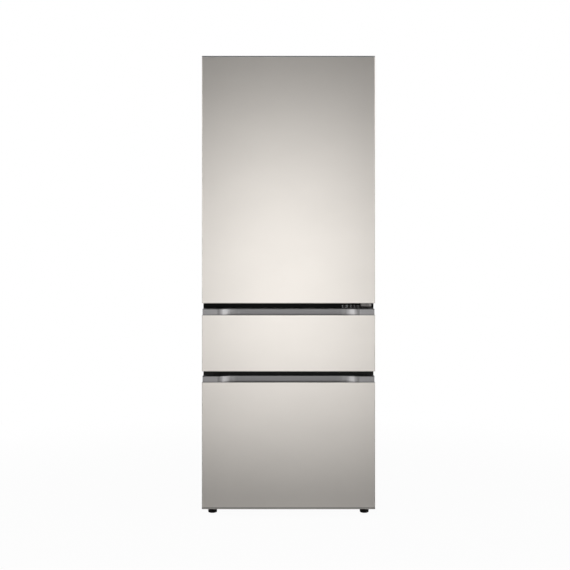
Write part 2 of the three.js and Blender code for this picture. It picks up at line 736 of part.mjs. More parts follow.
// Sheet-metal pan: face, rounded upright edges, sides and inward returns, in plan.
function frontSkin([z0, z1]) {
  const outline = (inset) => {
    const half = HALF_WIDTH - inset;
    const radius = SKIN_RADIUS - inset;
    const points = [];
    const steps = 3;
    for (let i = 0; i <= steps; i++) {
      const angle = Math.PI + (i / steps) * (Math.PI / 2);
      points.push([-half + radius + radius * Math.cos(angle), inset + radius + radius * Math.sin(angle)]);
    }
    const right = points.map(([x, d]) => [-x, d]).reverse();
    return [...points, ...right];
  };
  const outside = outline(0);
  const inside = outline(SHEET).reverse();
  const lip = HALF_WIDTH - SKIN_RETURN;
  const half = HALF_WIDTH;
  const fold = SKIN_DEPTH - SHEET;
  return prism(
    [
      [-lip, fold],
      [-lip, SKIN_DEPTH],
      [-half, SKIN_DEPTH],
      ...outside,
      [half, SKIN_DEPTH],
      [lip, SKIN_DEPTH],
      [lip, fold],
      [half - SHEET, fold],
      ...inside,
      [-half + SHEET, fold],
    ],
    [z0, z1],
  );
}

// What fills a skin, clear of its sheet, between two heights.
function skinFill(heights) {
  const x = grown([-HALF_WIDTH, HALF_WIDTH], -SKIN_INSIDE);
  const d = grown([0, SKIN_DEPTH], -SKIN_INSIDE);
  return upright(heights.map((z) => ring(x, d, SKIN_RADIUS - SKIN_INSIDE, z)));
}

// The foamed core behind a skin with the inner liner's back plate on it.
function foamedFront(core, plateZ) {
  const neck = HALF_WIDTH - SKIN_RETURN - CLEAR;
  const plate = { inset: 8, radius: 6, slope: { x: 9, z: 4 } };
  const plateX = grown([-HALF_WIDTH, HALF_WIDTH], -plate.inset);
  const body = skinFill(core);
  const bridge = block([-neck, neck], [SKIN_DEPTH - 2 * SKIN_INSIDE, SKIN_DEPTH + BITE], core);
  const back = inward([
    ring(plateX, plateZ, plate.radius, SKIN_DEPTH + CLEAR),
    ring(grown(plateX, -plate.slope.x), grown(plateZ, -plate.slope.z), plate.radius, FRONT_THICKNESS),
  ]);
  return join(body, bridge, back);
}

// Bellows gasket between a front's back and the cabinet face.
function gasket(zone) {
  const d0 = FRONT_THICKNESS + CLEAR;
  const d1 = MULLION_FRONT - CLEAR;
  const foot = { insets: [3, 13], height: 1.5 };
  const waist = { insets: [5.5, 10.5], depth: d0 + 3.5 };
  const magnet = { height: 4.5, edge: 1 };
  const profile = [
    [foot.insets[0], d0],
    [foot.insets[1], d0],
    [foot.insets[1], d0 + foot.height],
    [waist.insets[1], waist.depth],
    [GASKET_WIDTH, d1 - magnet.height],
    [GASKET_WIDTH, d1],
    [magnet.edge, d1],
    [0, d1 - magnet.height + magnet.edge],
    [waist.insets[0], waist.depth],
    [foot.insets[0], d0 + foot.height],
  ];
  return mitred(profile, [-SEAL_HALF_WIDTH, SEAL_HALF_WIDTH], SEALS[zone]);
}

// Room for the hinge arm in the door's top corner, open behind, above and at the side.
const HINGE_POCKET_MARGIN = 10;
const hingePocket = () =>
  block(
    [PIN_X - ARM_HALF_WIDTH - HINGE_POCKET_MARGIN, HALF_WIDTH + BITE],
    [HINGE_LIP, FACE],
    [DOOR_TOP - HINGE_POCKET_FLOOR, DOOR_TOP + BITE],
  );

// The top cap: a plug inside the skin under a lip as wide as the skin.
function topCap() {
  const lipZ = [DOOR_TOP - CAP_LIP + CLEAR, DOOR_TOP];
  const lip = lipZ.map((z) => ring([-HALF_WIDTH, HALF_WIDTH], [0, SKIN_DEPTH], SKIN_RADIUS, z));
  const body = join(skinFill([DOOR_TOP - CAP_PLUG, DOOR_TOP - BITE]), upright(lip));
  const boreTop = DOOR_TOP - HINGE_POCKET_FLOOR + BITE;
  return cut(body, hingePocket(), pin([CABINET_TOP - PIN_LENGTH, boreTop], PIN_RADIUS + CLEAR));
}

// The bottom cap fills the skin's end and holds the finger groove by which the door is pulled.
function bottomCap() {
  const body = skinFill([DOOR_BOTTOM, DOOR_BOTTOM + CAP_PLUG]);
  const grooveX = [-GROOVE_HALF_LENGTH, GROOVE_HALF_LENGTH];
  const radius = 10;
  const slope = 6;
  const groove = upright([
    ring(grooveX, GROOVE_DEPTHS, radius, DOOR_BOTTOM - BITE),
    ring(grown(grooveX, -slope), GROOVE_DEPTHS, radius, DOOR_BOTTOM + GROOVE_HEIGHT),
  ]);
  const overPin = 2;
  const bore = pin([DOOR_BOTTOM - BITE, BRACKET_TOP + PIN_LENGTH + overPin], PIN_RADIUS + CLEAR);
  return cut(body, groove, bore);
}

const DYKE_X = grown(INNER_X, -DYKE_CLEARANCE);
const DYKE_Z = grown(OPENINGS.upper, -DYKE_CLEARANCE);
const DYKE_REAR = FRONT_THICKNESS + DYKE_HEIGHT;
const BIN_LUG = { reach: 5, depths: [FRONT_THICKNESS + 12, FRONT_THICKNESS + 32], height: 12, rise: 40 };

const PLATE_EDGE = 3;

// The liner's back plate has a raised dyke all round, with lugs for the bins on its inner flanks.
function doorLiner() {
  const core = [DOOR_BOTTOM + CAP_PLUG + CLEAR, DOOR_TOP - CAP_PLUG - CLEAR];
  const plate = [DOOR_BOTTOM + PLATE_EDGE, DOOR_TOP - 7];
  const inner = DYKE_WIDTH - DYKE_SLOPE;
  const radius = { dyke: 16, well: 12 };
  const dyke = inward([
    ring(DYKE_X, DYKE_Z, radius.dyke, FRONT_THICKNESS - BITE),
    ring(grown(DYKE_X, -DYKE_SLOPE), grown(DYKE_Z, -DYKE_SLOPE), radius.dyke, DYKE_REAR),
  ]);
  const well = inward([
    ring(grown(DYKE_X, -DYKE_WIDTH), grown(DYKE_Z, -DYKE_WIDTH), radius.well, FRONT_THICKNESS),
    ring(grown(DYKE_X, -inner), grown(DYKE_Z, -inner), radius.well, DYKE_REAR + BITE),
  ]);
  const flank = DYKE_X[1] - DYKE_WIDTH;
  const lugs = BIN_LEVELS.flatMap((level) =>
    Object.values(SIDES).map((side) => {
      const top = DYKE_Z[0] + level + BIN_LUG.rise;
      return block(
        mirrored(side, [flank - BIN_LUG.reach, flank + DYKE_SLOPE]),
        BIN_LUG.depths,
        [top - BIN_LUG.height, top],
      );
    }),
  );
  return cut(join(foamedFront(core, plate), cut(dyke, well), ...lugs), hingePocket());
}

function doorBin(level) {
  const flank = DYKE_X[1] - DYKE_WIDTH;
  const half = flank - BIN_LUG.reach - 1;
  const floor = DYKE_Z[0] + level;
  const x = [-half, half];
  const front = FRONT_THICKNESS + 2;
  const d = [front, front + BIN_DEPTH];
  const foot = { x: 8, front: 6, rear: 14, radius: 12 };
  const chamfer = { x: 2, front: 1, rear: 8, radius: 16, height: 5 };
  const rimRadius = 18;
  const at = (by, wall, radius, z) =>
    ring(grown(x, -by.x - wall), [d[0] + by.front + wall, d[1] - by.rear - wall], radius, z);
  const rim = { x: 0, front: 0, rear: 0 };
  const top = floor + BIN_HEIGHT;
  const tray = upright([
    at(foot, 0, foot.radius, floor),
    at(chamfer, 0, chamfer.radius, floor + chamfer.height),
    at(rim, 0, rimRadius, top),
    at(rim, PLASTIC, rimRadius - 2, top),
    at(chamfer, PLASTIC, chamfer.radius - 2, floor + chamfer.height + PLASTIC),
    at(foot, PLASTIC, foot.radius - 2, floor + PLASTIC),
  ]);
  const lugTop = floor + BIN_LUG.rise;
  const earHeights = [lugTop + CLEAR, lugTop + BIN_LUG.height];
  const ears = Object.values(SIDES).map((side) =>
    block(mirrored(side, [half - PLASTIC, flank - 2 * CLEAR]), BIN_LUG.depths, earHeights),
  );
  return join(tray, ...ears);
}

// ---------------------------------------------------------------- drawers

// Depth of the handle's face at x: flush at the ends, an S-shaped sweep, a recessed middle.
function handleFace(x) {
  const sweepStart = HALF_WIDTH - HANDLE_END_INSET - HANDLE_FLUSH_END;
  const along = THREE.MathUtils.clamp((sweepStart - Math.abs(x)) / HANDLE_SWEEP, 0, 1);
  return HANDLE_RECESS * THREE.MathUtils.smoothstep(along, 0, 1);
}

// [x, depth] points of the face between two half-lengths, from the left end to the right.
function handleCurve(offset) {
  const sweepStart = HALF_WIDTH - HANDLE_END_INSET - HANDLE_FLUSH_END;
  const left = [];
  for (let i = 0; i <= HANDLE_STEPS; i++) {
    const x = sweepStart - (i / HANDLE_STEPS) * HANDLE_SWEEP;
    left.push([-x, handleFace(x) + offset]);
  }
  const right = left.map(([x, d]) => [-x, d]).reverse();
  return [...left, ...right];
}

const HANDLE_REAR = SKIN_DEPTH - CLEAR;
const HANDLE_SETBACK = 0.5;
const POCKET_FRONT = 7;

// The strip shows above the panel; below the panel's top edge it becomes a finger pocket.
function drawerHandle([, panelTop], top) {
  const half = HALF_WIDTH - HANDLE_END_INSET;
  const face = handleCurve(HANDLE_SETBACK);
  const ends = [[-half, HANDLE_SETBACK], ...face, [half, HANDLE_SETBACK]];
  const strip = prism([[-half, HANDLE_REAR], ...ends, [half, HANDLE_REAR]], [panelTop + CLEAR, top]);
  const hidden = handleCurve(0).filter(([, d]) => d > POCKET_FRONT);
  const pocketHalf = hidden[hidden.length - 1][0];
  const trayHalf = pocketHalf + HANDLE_WALL;
  const trayBottom = panelTop - HANDLE_POCKET_DEPTH;
  const tray = block(
    [-trayHalf, trayHalf],
    [SKIN_INSIDE, HANDLE_REAR],
    [trayBottom, panelTop + BITE],
  );
  const pocket = prism(
    [[-pocketHalf, POCKET_FRONT], [pocketHalf, POCKET_FRONT], ...[...hidden].reverse()],
    [trayBottom + HANDLE_WALL, top + BITE],
  );
  const openHeights = [panelTop + CLEAR, top + BITE];
  const mouth = block([-HALF_WIDTH, HALF_WIDTH], [-BITE, POCKET_FRONT + BITE], openHeights);
  const beforeFace = prism([...face, [half, -BITE], [-half, -BITE]].reverse(), openHeights);
  return join(cut(strip, pocket), cut(tray, pocket, mouth.intersect(beforeFace)));
}

// Room for the handle in the drawer's foamed front.
function handleRoom([, panelTop]) {
  const trayHalf = HALF_WIDTH - HANDLE_END_INSET - HANDLE_FLUSH_END + CLEAR;
  return block(
    [-trayHalf, trayHalf],
    [0, HANDLE_REAR + CLEAR],
    [panelTop - HANDLE_POCKET_DEPTH - CLEAR, panelTop + HANDLE_STRIP_HEIGHT + BITE],
  );
}

const BULGE = { height: 6, side: 12, end: 10, slope: 5, radius: 14 };
const FRAME_FRONT = FRONT_THICKNESS + BULGE.height + CLEAR;

function drawerLiner(zone, panel, top) {
  const core = grown(panel, -SKIN_INSIDE);
  const plate = grown([panel[0], top], -PLATE_EDGE);
  const bulgeX = grown(INNER_X, -BULGE.side);
  const bulgeZ = grown(OPENINGS[zone], -BULGE.end);
  const { height, slope, radius } = BULGE;
  const bulge = inward([
    ring(bulgeX, bulgeZ, radius, FRONT_THICKNESS - BITE),
    ring(grown(bulgeX, -slope), grown(bulgeZ, -slope), radius - 2, FRONT_THICKNESS + height),
  ]);
  return join(cut(foamedFront(core, plate), handleRoom(panel)), bulge);
}

const RAIL_BELOW_RIM = 2;
const rimLevel = (zone) => OPENINGS[zone][1] - RIM_DROP;
const railCentre = (zone) => rimLevel(zone) - RAIL_BELOW_RIM - RAIL_HEIGHT / 2;
const railRear = (zone) => RAIL_FRONT + RAIL_LENGTH[zone];

// A lipped channel: u is measured inwards from the compartment's side wall.
function channel(side, [u0, u1], halfHeight, centre, depths) {
  const t = RAIL_SHEET;
  const h = halfHeight;
  const outline = [
    [u0, -h],
    [u1, -h],
    [u1, -h + RAIL_LIP],
    [u1 - t, -h + RAIL_LIP],
    [u1 - t, -h + t],
    [u0 + t, -h + t],
    [u0 + t, h - t],
    [u1 - t, h - t],
    [u1 - t, h - RAIL_LIP],
    [u1, h - RAIL_LIP],
    [u1, h],
    [u0, h],
  ];
  return bar(outline.map(([u, z]) => [side * (INNER_HALF_WIDTH - u), centre + z]), depths);
}

const NEST = RAIL_SHEET + RAIL_GAP;
const OUTER_U = [CLEAR, CLEAR + RAIL_WIDTH];
const MIDDLE_U = [OUTER_U[0] + NEST, OUTER_U[1] - NEST];
const INNER_U = [MIDDLE_U[0] + NEST, MIDDLE_U[1] - NEST];
const OUTER_HALF = RAIL_HEIGHT / 2;
const MIDDLE_HALF = OUTER_HALF - NEST;
const INNER_HALF = MIDDLE_HALF - NEST;
const FRAME_U = OUTER_U[1] + 1.5;

const outerRail = (zone, side) =>
  channel(side, OUTER_U, OUTER_HALF, railCentre(zone), [RAIL_FRONT, railRear(zone)]);

const slideMember = (zone, side) =>
  channel(side, MIDDLE_U, MIDDLE_HALF, railCentre(zone), [RAIL_FRONT + 4, railRear(zone) - 6]);

const TIE_PLATE = 2;
const FRAME_REAR_INSET = 12;

// Inner rail members, side plates and ledges on both sides, tied by a plate behind the front.
function drawerFrame(zone) {
  const centre = railCentre(zone);
  const rim = rimLevel(zone);
  const rear = railRear(zone) - FRAME_REAR_INSET;
  const memberDepths = [RAIL_FRONT + 8, rear];
  const plateDepths = [FRAME_FRONT, rear];
  const neckHalf = INNER_HALF - 2 * RAIL_LIP;
  const memberHeights = [centre - INNER_HALF, centre + INNER_HALF];
  const pieces = [];
  for (const side of Object.values(SIDES)) {
    const x = (u0, u1) => mirrored(side, [INNER_HALF_WIDTH - u1, INNER_HALF_WIDTH - u0]);
    const neckX = x(INNER_U[1] - BITE, FRAME_U + BITE);
    pieces.push(
      block(x(INNER_U[0], INNER_U[1]), memberDepths, memberHeights),
      block(neckX, memberDepths, [centre - neckHalf, centre + neckHalf]),
      block(x(FRAME_U, FRAME_U + RAIL_SHEET), plateDepths, [centre - INNER_HALF, rim]),
      block(x(FRAME_U, FRAME_U + LEDGE_WIDTH), plateDepths, [rim - RAIL_SHEET, rim]),
    );
  }
  const tieDepths = [FRAME_FRONT, FRAME_FRONT + TIE_PLATE];
  pieces.push(block(grown(INNER_X, -FRAME_U), tieDepths, [centre - INNER_HALF, rim]));
  return join(...pieces);
}

const BOX_X = grown(INNER_X, -(FRAME_U + LEDGE_WIDTH + 1.5));
const BOX_FRONT = FRAME_FRONT + TIE_PLATE + 1;
const BOX_FLOOR_GAP = 6;
const BOX_FOOT = { inset: 9, radius: 14 };
const BOX_CHAMFER = { inset: 3, radius: 20, height: 6 };
const BOX_RIM = { radius: 22, outerRadius: 8, behind: 4 };

const boxRear = (zone) => railRear(zone) - FRAME_REAR_INSET - 2;
const boxFloor = (zone) => OPENINGS[zone][0] + BOX_FLOOR_GAP;

// A moulded drawer box that hangs on the frame's ledges by its rim.
function drawerBox(zone) {
  const d = [BOX_FRONT, boxRear(zone)];
  const floor = boxFloor(zone);
  const rim = rimLevel(zone) + CLEAR;
  const chamferTop = floor + BOX_CHAMFER.height;
  const at = (inset, radius, z) => ring(grown(BOX_X, -inset), grown(d, -inset), radius, z);
  const rimEdge = (z) =>
    ring(grown(BOX_X, LEDGE_WIDTH - 1), [d[0], d[1] + BOX_RIM.behind], BOX_RIM.outerRadius, z);
  return upright([
    at(BOX_FOOT.inset, BOX_FOOT.radius, floor),
    at(BOX_CHAMFER.inset, BOX_CHAMFER.radius, chamferTop),
    at(0, BOX_RIM.radius, rim),
    rimEdge(rim),
    rimEdge(rim + PLASTIC),
    at(PLASTIC, BOX_RIM.radius - 2, rim + PLASTIC),
    at(BOX_CHAMFER.inset + PLASTIC, BOX_CHAMFER.radius - 2, chamferTop + PLASTIC),
    at(BOX_FOOT.inset + PLASTIC, BOX_FOOT.radius - 2, floor + PLASTIC),
  ]);
}

// ---------------------------------------------------------------- shelves, tubs and lids

const SHELF_FRONT = FACE + SHELF_FRONT_SETBACK;
const SHELF_REAR = INNER_REAR - SHELF_REAR_SETBACK;
const SHELF_TRIM_DEPTH = 12;

function shelf(level) {
  const top = OPENINGS.upper[0] + level;
  const half = INNER_HALF_WIDTH - 1;
  const d = [SHELF_FRONT, SHELF_REAR];
  const plate = block([-half, half], [d[0] + SHELF_TRIM_DEPTH / 2, d[1]], [top - SHELF_THICKNESS, top]);
  const chamfer = 6;
  const trimLow = top - SHELF_TRIM_HEIGHT;
  const trimHigh = top + 3;
  const outline = [
    [-half, trimLow + chamfer],
    [-half + chamfer, trimLow],
    [half - chamfer, trimLow],
    [half, trimLow + chamfer],
    [half, trimHigh],
    [-half, trimHigh],
  ];
  const trim = bar(outline, [d[0], d[0] + SHELF_TRIM_DEPTH]);
  const stop = { thickness: 5, height: 12 };
  const rearStop = block([-half, half], [d[1] - stop.thickness, d[1]], [top - BITE, top + stop.height]);
  return join(plate, trim, rearStop);
}

const TUB_FOOT = { inset: 14, radius: 18 };
const TUB_CHAMFER = { inset: 7, radius: 22, height: 7 };
const TUB_COLLAR = 10;
const TUB_RIM_HEIGHT = 6;
const TUB_GRIP = { halfLength: 42, height: 16, slope: 5 };

const tubTop = ({ floor, height }) => floor + height;

// A ledge to lift the tub by, moulded under its rim at one end; `out` points to that end.
function tubGrip({ x, d }, top, out) {
  const centre = (x[0] + x[1]) / 2;
  const outer = out < 0 ? d[0] : d[1];
  const inner = outer - out * (TUB_RIM + PLASTIC / 2);
  const low = top - TUB_RIM_HEIGHT - TUB_GRIP.height;
  const edge = outer - out * CLEAR;
  const section = [
    [inner, low],
    [edge, low + TUB_GRIP.slope],
    [edge, top - TUB_RIM_HEIGHT + BITE],
    [inner, top - TUB_RIM_HEIGHT + BITE],
  ];
  const turn = out < 0 ? section.reverse() : section;
  return beam(turn, grown([centre, centre], TUB_GRIP.halfLength));
}

function tub(spec) {
  const { x, d, floor } = spec;
  const top = tubTop(spec);
  const at = (inset, radius, z) => ring(grown(x, -TUB_RIM - inset), grown(d, -TUB_RIM - inset), radius, z);
  const chamferTop = floor + TUB_CHAMFER.height;
  const body = upright([
    at(TUB_FOOT.inset, TUB_FOOT.radius, floor),
    at(TUB_CHAMFER.inset, TUB_CHAMFER.radius, chamferTop),
    at(0, TUB_RADIUS, top - TUB_COLLAR),
    at(-TUB_RIM, TUB_RADIUS + 3, top - TUB_RIM_HEIGHT),
    at(-TUB_RIM, TUB_RADIUS + 3, top),
    at(PLASTIC, TUB_RADIUS - 2, top),
    at(TUB_CHAMFER.inset + PLASTIC, TUB_CHAMFER.radius - 2, chamferTop + PLASTIC),
    at(TUB_FOOT.inset + PLASTIC, TUB_FOOT.radius - 2, floor + PLASTIC),
  ]);
  return join(body, tubGrip(spec, top, -1), tubGrip(spec, top, 1));
}

const LID_PANEL_DROP = 2.5;
const LID_WALL = 2;

// A push button in a raised ring, through which the lid lets gas out.
function lidVent({ x, d }, panel) {
  const button = { radius: 8, height: 1.6 };
  const groove = { radius: 11, height: 0.2 };
  const bead = { radius: 14, height: 1.9 };
  const profile = [
    [0, panel - BITE],
    [bead.radius, panel - BITE],
    [bead.radius, panel],
    [bead.radius - 1, panel + bead.height],
    [groove.radius, panel + bead.height],
    [groove.radius, panel + groove.height],
    [button.radius, panel + groove.height],
    [button.radius - 1, panel + button.height],
    [0, panel + button.height],
  ];
  return turned(profile, (x[0] + x[1]) / 2, (d[0] + d[1]) / 2, 16);
}

// The lid's plug enters the tub and its skirt closes round the rim.
function lid(spec) {
  const { x, d } = spec;
  const rim = tubTop(spec);
  const at = (inset, radius, z) => ring(grown(x, -inset), grown(d, -inset), radius, z);
  const plug = TUB_RIM + PLASTIC + 1;
  const border = 20;
  const under = rim + CLEAR;
  const skirt = rim - LID_SKIRT;
  const top = under + LID_THICKNESS;
  const panel = top - LID_PANEL_DROP;
  const body = upright([
    at(plug + 1, TUB_RADIUS - 4, skirt),
    at(plug, TUB_RADIUS - 3, under),
    at(-CLEAR, TUB_RADIUS + 3, under),
    at(-CLEAR, TUB_RADIUS + 3, skirt),
    at(-LID_WALL - CLEAR, TUB_RADIUS + 5, skirt),
    at(-LID_WALL / 2, TUB_RADIUS + 4, top),
    at(border, TUB_RADIUS - 6, top),
    at(border + 4, TUB_RADIUS - 8, panel),
  ]);
  return join(body, lidVent(spec, panel));
}

// Two side-by-side places across a span, each with room for the lid's skirt.
function pair([x0, x1]) {
  const middle = (x0 + x1) / 2;
  return [
    [x0 + LID_REACH, middle - TUB_GAP / 2],
    [middle + TUB_GAP / 2, x1 - LID_REACH],
  ];
}

const [SHELF_LEFT, SHELF_RIGHT] = pair(grown(INNER_X, -SHELF_TUB_SIDE_ROOM));
const [BOX_LEFT, BOX_RIGHT] = pair(grown(BOX_X, -BOX_TUB_SIDE_ROOM));
const boxTubFloor = (zone) => boxFloor(zone) + PLASTIC + CLEAR;

const onShelf = {
  d: [SHELF_FRONT + SHELF_TUB_FRONT_ROOM, SHELF_REAR - SHELF_TUB_REAR_ROOM],
  floor: OPENINGS.upper[0] + SHELF_LEVELS[0] + CLEAR,
  height: SHELF_LEVELS[1] - SHELF_LEVELS[0] - SHELF_TUB_HEADROOM,
};
const inMiddleBox = {
  d: [BOX_FRONT + BOX_TUB_END_ROOM, boxRear("middle") - MIDDLE_TUB_REAR_ROOM],
  floor: boxTubFloor("middle"),
  height: OPENINGS.middle[1] - MIDDLE_TUB_HEADROOM - boxTubFloor("middle"),
};
const inLowerBox = {
  d: [BOX_FRONT + BOX_TUB_END_ROOM, boxRear("lower") - BOX_TUB_END_ROOM],
  floor: boxTubFloor("lower"),
  height: OPENINGS.lower[1] - LOWER_TUB_HEADROOM - boxTubFloor("lower"),
};
const TUBS = [
  { x: SHELF_LEFT, ...onShelf },
  { x: SHELF_RIGHT, ...onShelf },
  { x: BOX_LEFT, ...inMiddleBox },
  { x: BOX_LEFT, ...inLowerBox },
  { x: BOX_RIGHT, ...inLowerBox },
];

// ---------------------------------------------------------------- machine compartment

const MACHINE_CENTRE = (MACHINE_FRONT + CABINET_REAR) / 2;
const GROMMET_HEIGHT = 14;

// A hermetic compressor: domed can on a foot plate with four mounting grommets.
function compressor() {
  const low = FLOOR_TOP + GROMMET_HEIGHT;
  const r = COMPRESSOR_RADIUS;
  const h = COMPRESSOR_HEIGHT;
  const seam = { width: 3, from: 0.45, to: 0.54, chamfer: 0.02 };
  const canProfile = [
    [0, low],
    [r * 0.62, low],
    [r * 0.9, low + h * 0.07],
    [r, low + h * 0.18],
    [r, low + h * seam.from],
    [r + seam.width, low + h * (seam.from + seam.chamfer)],
    [r + seam.width, low + h * (seam.to - seam.chamfer)],
    [r, low + h * seam.to],
    [r, low + h * 0.76],
    [r * 0.9, low + h * 0.9],
    [r * 0.62, low + h * 0.98],
    [0, low + h],
  ];
  const can = turned(canProfile, COMPRESSOR_X, MACHINE_CENTRE);
  const reach = { x: r + 14, d: r - 10 };
  const plate = block(
    grown([COMPRESSOR_X, COMPRESSOR_X], reach.x),
    grown([MACHINE_CENTRE, MACHINE_CENTRE], reach.d),
    [low - 2, low + 4],
  );
  const terminals = { front: 16, back: 20, halfWidth: 26, rise: 40, height: 60 };
  const terminalBox = block(
    [COMPRESSOR_X - r - terminals.front, COMPRESSOR_X - r + terminals.back],
    grown([MACHINE_CENTRE, MACHINE_CENTRE], terminals.halfWidth),
    [low + terminals.rise, low + terminals.rise + terminals.height],
  );
  return join(can, plate, terminalBox, ...grommets(reach), ...refrigerantPipes(low));
}

// A waisted rubber grommet under each corner of the foot plate.
function grommets(reach) {
  const inset = { x: 12, d: 14 };
  const radius = { end: 9, waist: 7 };
  const bottom = FLOOR_TOP + CLEAR;
  const top = FLOOR_TOP + GROMMET_HEIGHT;
  const profile = [
    [0, bottom],
    [radius.end, bottom],
    [radius.waist, (bottom + top) / 2],
    [radius.end, top],
    [0, top],
  ];
  const corners = [-1, 1].flatMap((sx) => [-1, 1].map((sd) => [sx, sd]));
  return corners.map(([sx, sd]) =>
    turned(
      profile,
      COMPRESSOR_X + sx * (reach.x - inset.x),
      MACHINE_CENTRE + sd * (reach.d - inset.d),
      12,
    ),
  );
}

// A pipe along a smooth curve through [x, depth, z] points.
function pipe(points, radius, steps) {
  const route = new THREE.CatmullRomCurve3(points.map(([x, d, z]) => new THREE.Vector3(x, FRONT_Y + d, z)));
  const sides = 8;
  const rings = [];
  const frames = route.computeFrenetFrames(steps, false);
  for (let i = 0; i <= steps; i++) {
    const centre = route.getPointAt(i / steps);
    const loop = [];
    for (let j = 0; j < sides; j++) {
      const angle = (j / sides) * 2 * Math.PI;
      const point = centre.clone();
      point.addScaledVector(frames.normals[i], radius * Math.cos(angle));
      point.addScaledVector(frames.binormals[i], radius * Math.sin(angle));
      loop.push(point.toArray());
    }
    rings.push(loop);
  }
  return loft(rings, (point) => point);
}

// The wide suction pipe with its accumulator, and the thin discharge pipe, up to the ceiling.
function refrigerantPipes(low) {
  const ceiling = MACHINE_TOP - CLEAR;
  const side = COMPRESSOR_X + COMPRESSOR_RADIUS;
  const suction = { radius: 4, out: 34, d: MACHINE_CENTRE - 34, z: low + 42 };
  const accumulator = { radius: 15, rise: 30, height: 84, shoulder: 8 };
  const discharge = { radius: 3, out: 44, d: MACHINE_CENTRE + 32, z: low + 30 };
  const bend = 16;
  const riserX = side + suction.out;
  const suctionPipe = pipe(
    [
      [side - 20, suction.d, suction.z],
      [riserX - bend, suction.d, suction.z],
      [riserX, suction.d, suction.z + bend],
      [riserX, suction.d, suction.z + 2 * bend],
      [riserX, suction.d, ceiling],
    ],
    suction.radius,
    14,
  );
  const canLow = suction.z + accumulator.rise;
  const canHigh = canLow + accumulator.height;
  const can = turned(
    [
      [0, canLow],
      [suction.radius, canLow],
      [accumulator.radius, canLow + accumulator.shoulder],
      [accumulator.radius, canHigh - accumulator.shoulder],
      [suction.radius, canHigh],
      [0, canHigh],
    ],
    riserX,
    suction.d,
    14,
  );
  const thinX = side + discharge.out;
  const dischargePipe = pipe(
    [
      [side - 24, discharge.d, discharge.z],
      [thinX - bend, discharge.d, discharge.z],
      [thinX, discharge.d, discharge.z + bend],
      [thinX, discharge.d, discharge.z + 2 * bend],
      [thinX, discharge.d, ceiling],
    ],
    discharge.radius,
    14,
  );
  return [suctionPipe, can, dischargePipe];
}

const FAN_Z = FLOOR_TOP + MACHINE_HEIGHT / 2;
const FAN_SHAFT = { radius: 3, end: FAN_X + 30 };
const FAN_HUB = { radius: 17, front: FAN_X - 14, back: FAN_X + 10, chamfer: 4 };
const FAN_BLADE = {
  thickness: 1.8,
  chord: 34,
  rootChord: 0.42,
  rootPitch: 0.95,
  tipPitch: 0.45,
  sweep: 0.55,
};

// One blade, twisted and widened from root to tip.
function fanBlade(angle) {
  const root = FAN_HUB.radius - FAN_SHAFT.radius;
  const length = FAN_RADIUS - root;
  const { lerp } = THREE.MathUtils;
  const blade = new THREE.BoxGeometry(FAN_BLADE.thickness, FAN_BLADE.chord, length, 1, 1, 3);
  const position = blade.getAttribute("position");
  for (let v = 0; v < position.count; v++) {
    const out = position.getZ(v) / length + 0.5;
    const pitch = lerp(FAN_BLADE.rootPitch, FAN_BLADE.tipPitch, out);
    const chord = position.getY(v) * lerp(FAN_BLADE.rootChord, 1, out);
    const thick = position.getX(v);
    position.setX(v, thick * Math.sin(pitch) + chord * Math.cos(pitch) * FAN_BLADE.sweep);
    position.setY(v, chord * Math.sin(pitch) - thick * Math.cos(pitch));
  }
  blade.translate(0, 0, root + length / 2);
  blade.rotateX(angle);
  blade.translate(FAN_X - 1, FRONT_Y + MACHINE_CENTRE, FAN_Z);
  return solidOf(blade);
}

// Axial fan on a shaft along x.
function coolingFan() {
  const profile = [
    [0, FAN_HUB.front],
    [FAN_HUB.radius - FAN_HUB.chamfer, FAN_HUB.front],
    [FAN_HUB.radius, FAN_HUB.front + FAN_HUB.chamfer],
    [FAN_HUB.radius, FAN_HUB.back],
    [FAN_SHAFT.radius, FAN_HUB.back],
    [FAN_SHAFT.radius, FAN_SHAFT.end],
    [0, FAN_SHAFT.end],
  ];
  const hub = wheel(profile, MACHINE_CENTRE, FAN_Z, 16);
  const blades = [];
  for (let i = 0; i < FAN_BLADES; i++) {
    blades.push(fanBlade((i / FAN_BLADES) * 2 * Math.PI));
  }
  return join(hub, ...blades);
}

// The fan's shroud plate, its motor on three struts.
function fanBracket() {
  const plateX = [FAN_X + 20, FAN_X + 22];
  const half = FAN_RADIUS + 14;
  const depths = [MACHINE_CENTRE - half, MACHINE_CENTRE + half];
  const plate = block(plateX, depths, [FLOOR_TOP + CLEAR, FAN_Z + half]);
  const disc = (radius, x, segments) => rod(radius, x, MACHINE_CENTRE, FAN_Z, segments);
  const opening = disc(FAN_RADIUS + 4, grown(plateX, BITE), 32);
  const foot = block([plateX[0], plateX[1] + 18], depths, [FLOOR_TOP + CLEAR, FLOOR_TOP + 2]);
  const strutLength = FAN_RADIUS + 8;
  const strutCount = 3;
  const struts = [];
  for (let i = 0; i < strutCount; i++) {
    const strut = new THREE.BoxGeometry(plateX[1] - plateX[0], 10, strutLength);
    strut.translate(0, 0, strutLength / 2);
    strut.rotateX(((i + 0.5) / strutCount) * 2 * Math.PI);
    strut.translate((plateX[0] + plateX[1]) / 2, FRONT_Y + MACHINE_CENTRE, FAN_Z);
    struts.push(solidOf(strut));
  }
  const motor = disc(19, [plateX[0] - 6, plateX[1] + 20], 20);
  const bore = disc(FAN_SHAFT.radius + CLEAR, [FAN_X, FAN_SHAFT.end + 2], 12);
  return cut(join(cut(plate, opening), foot, ...struts, motor), bore);
}

// ---------------------------------------------------------------- feet and rollers

const FOOT_SHOULDER = 2;

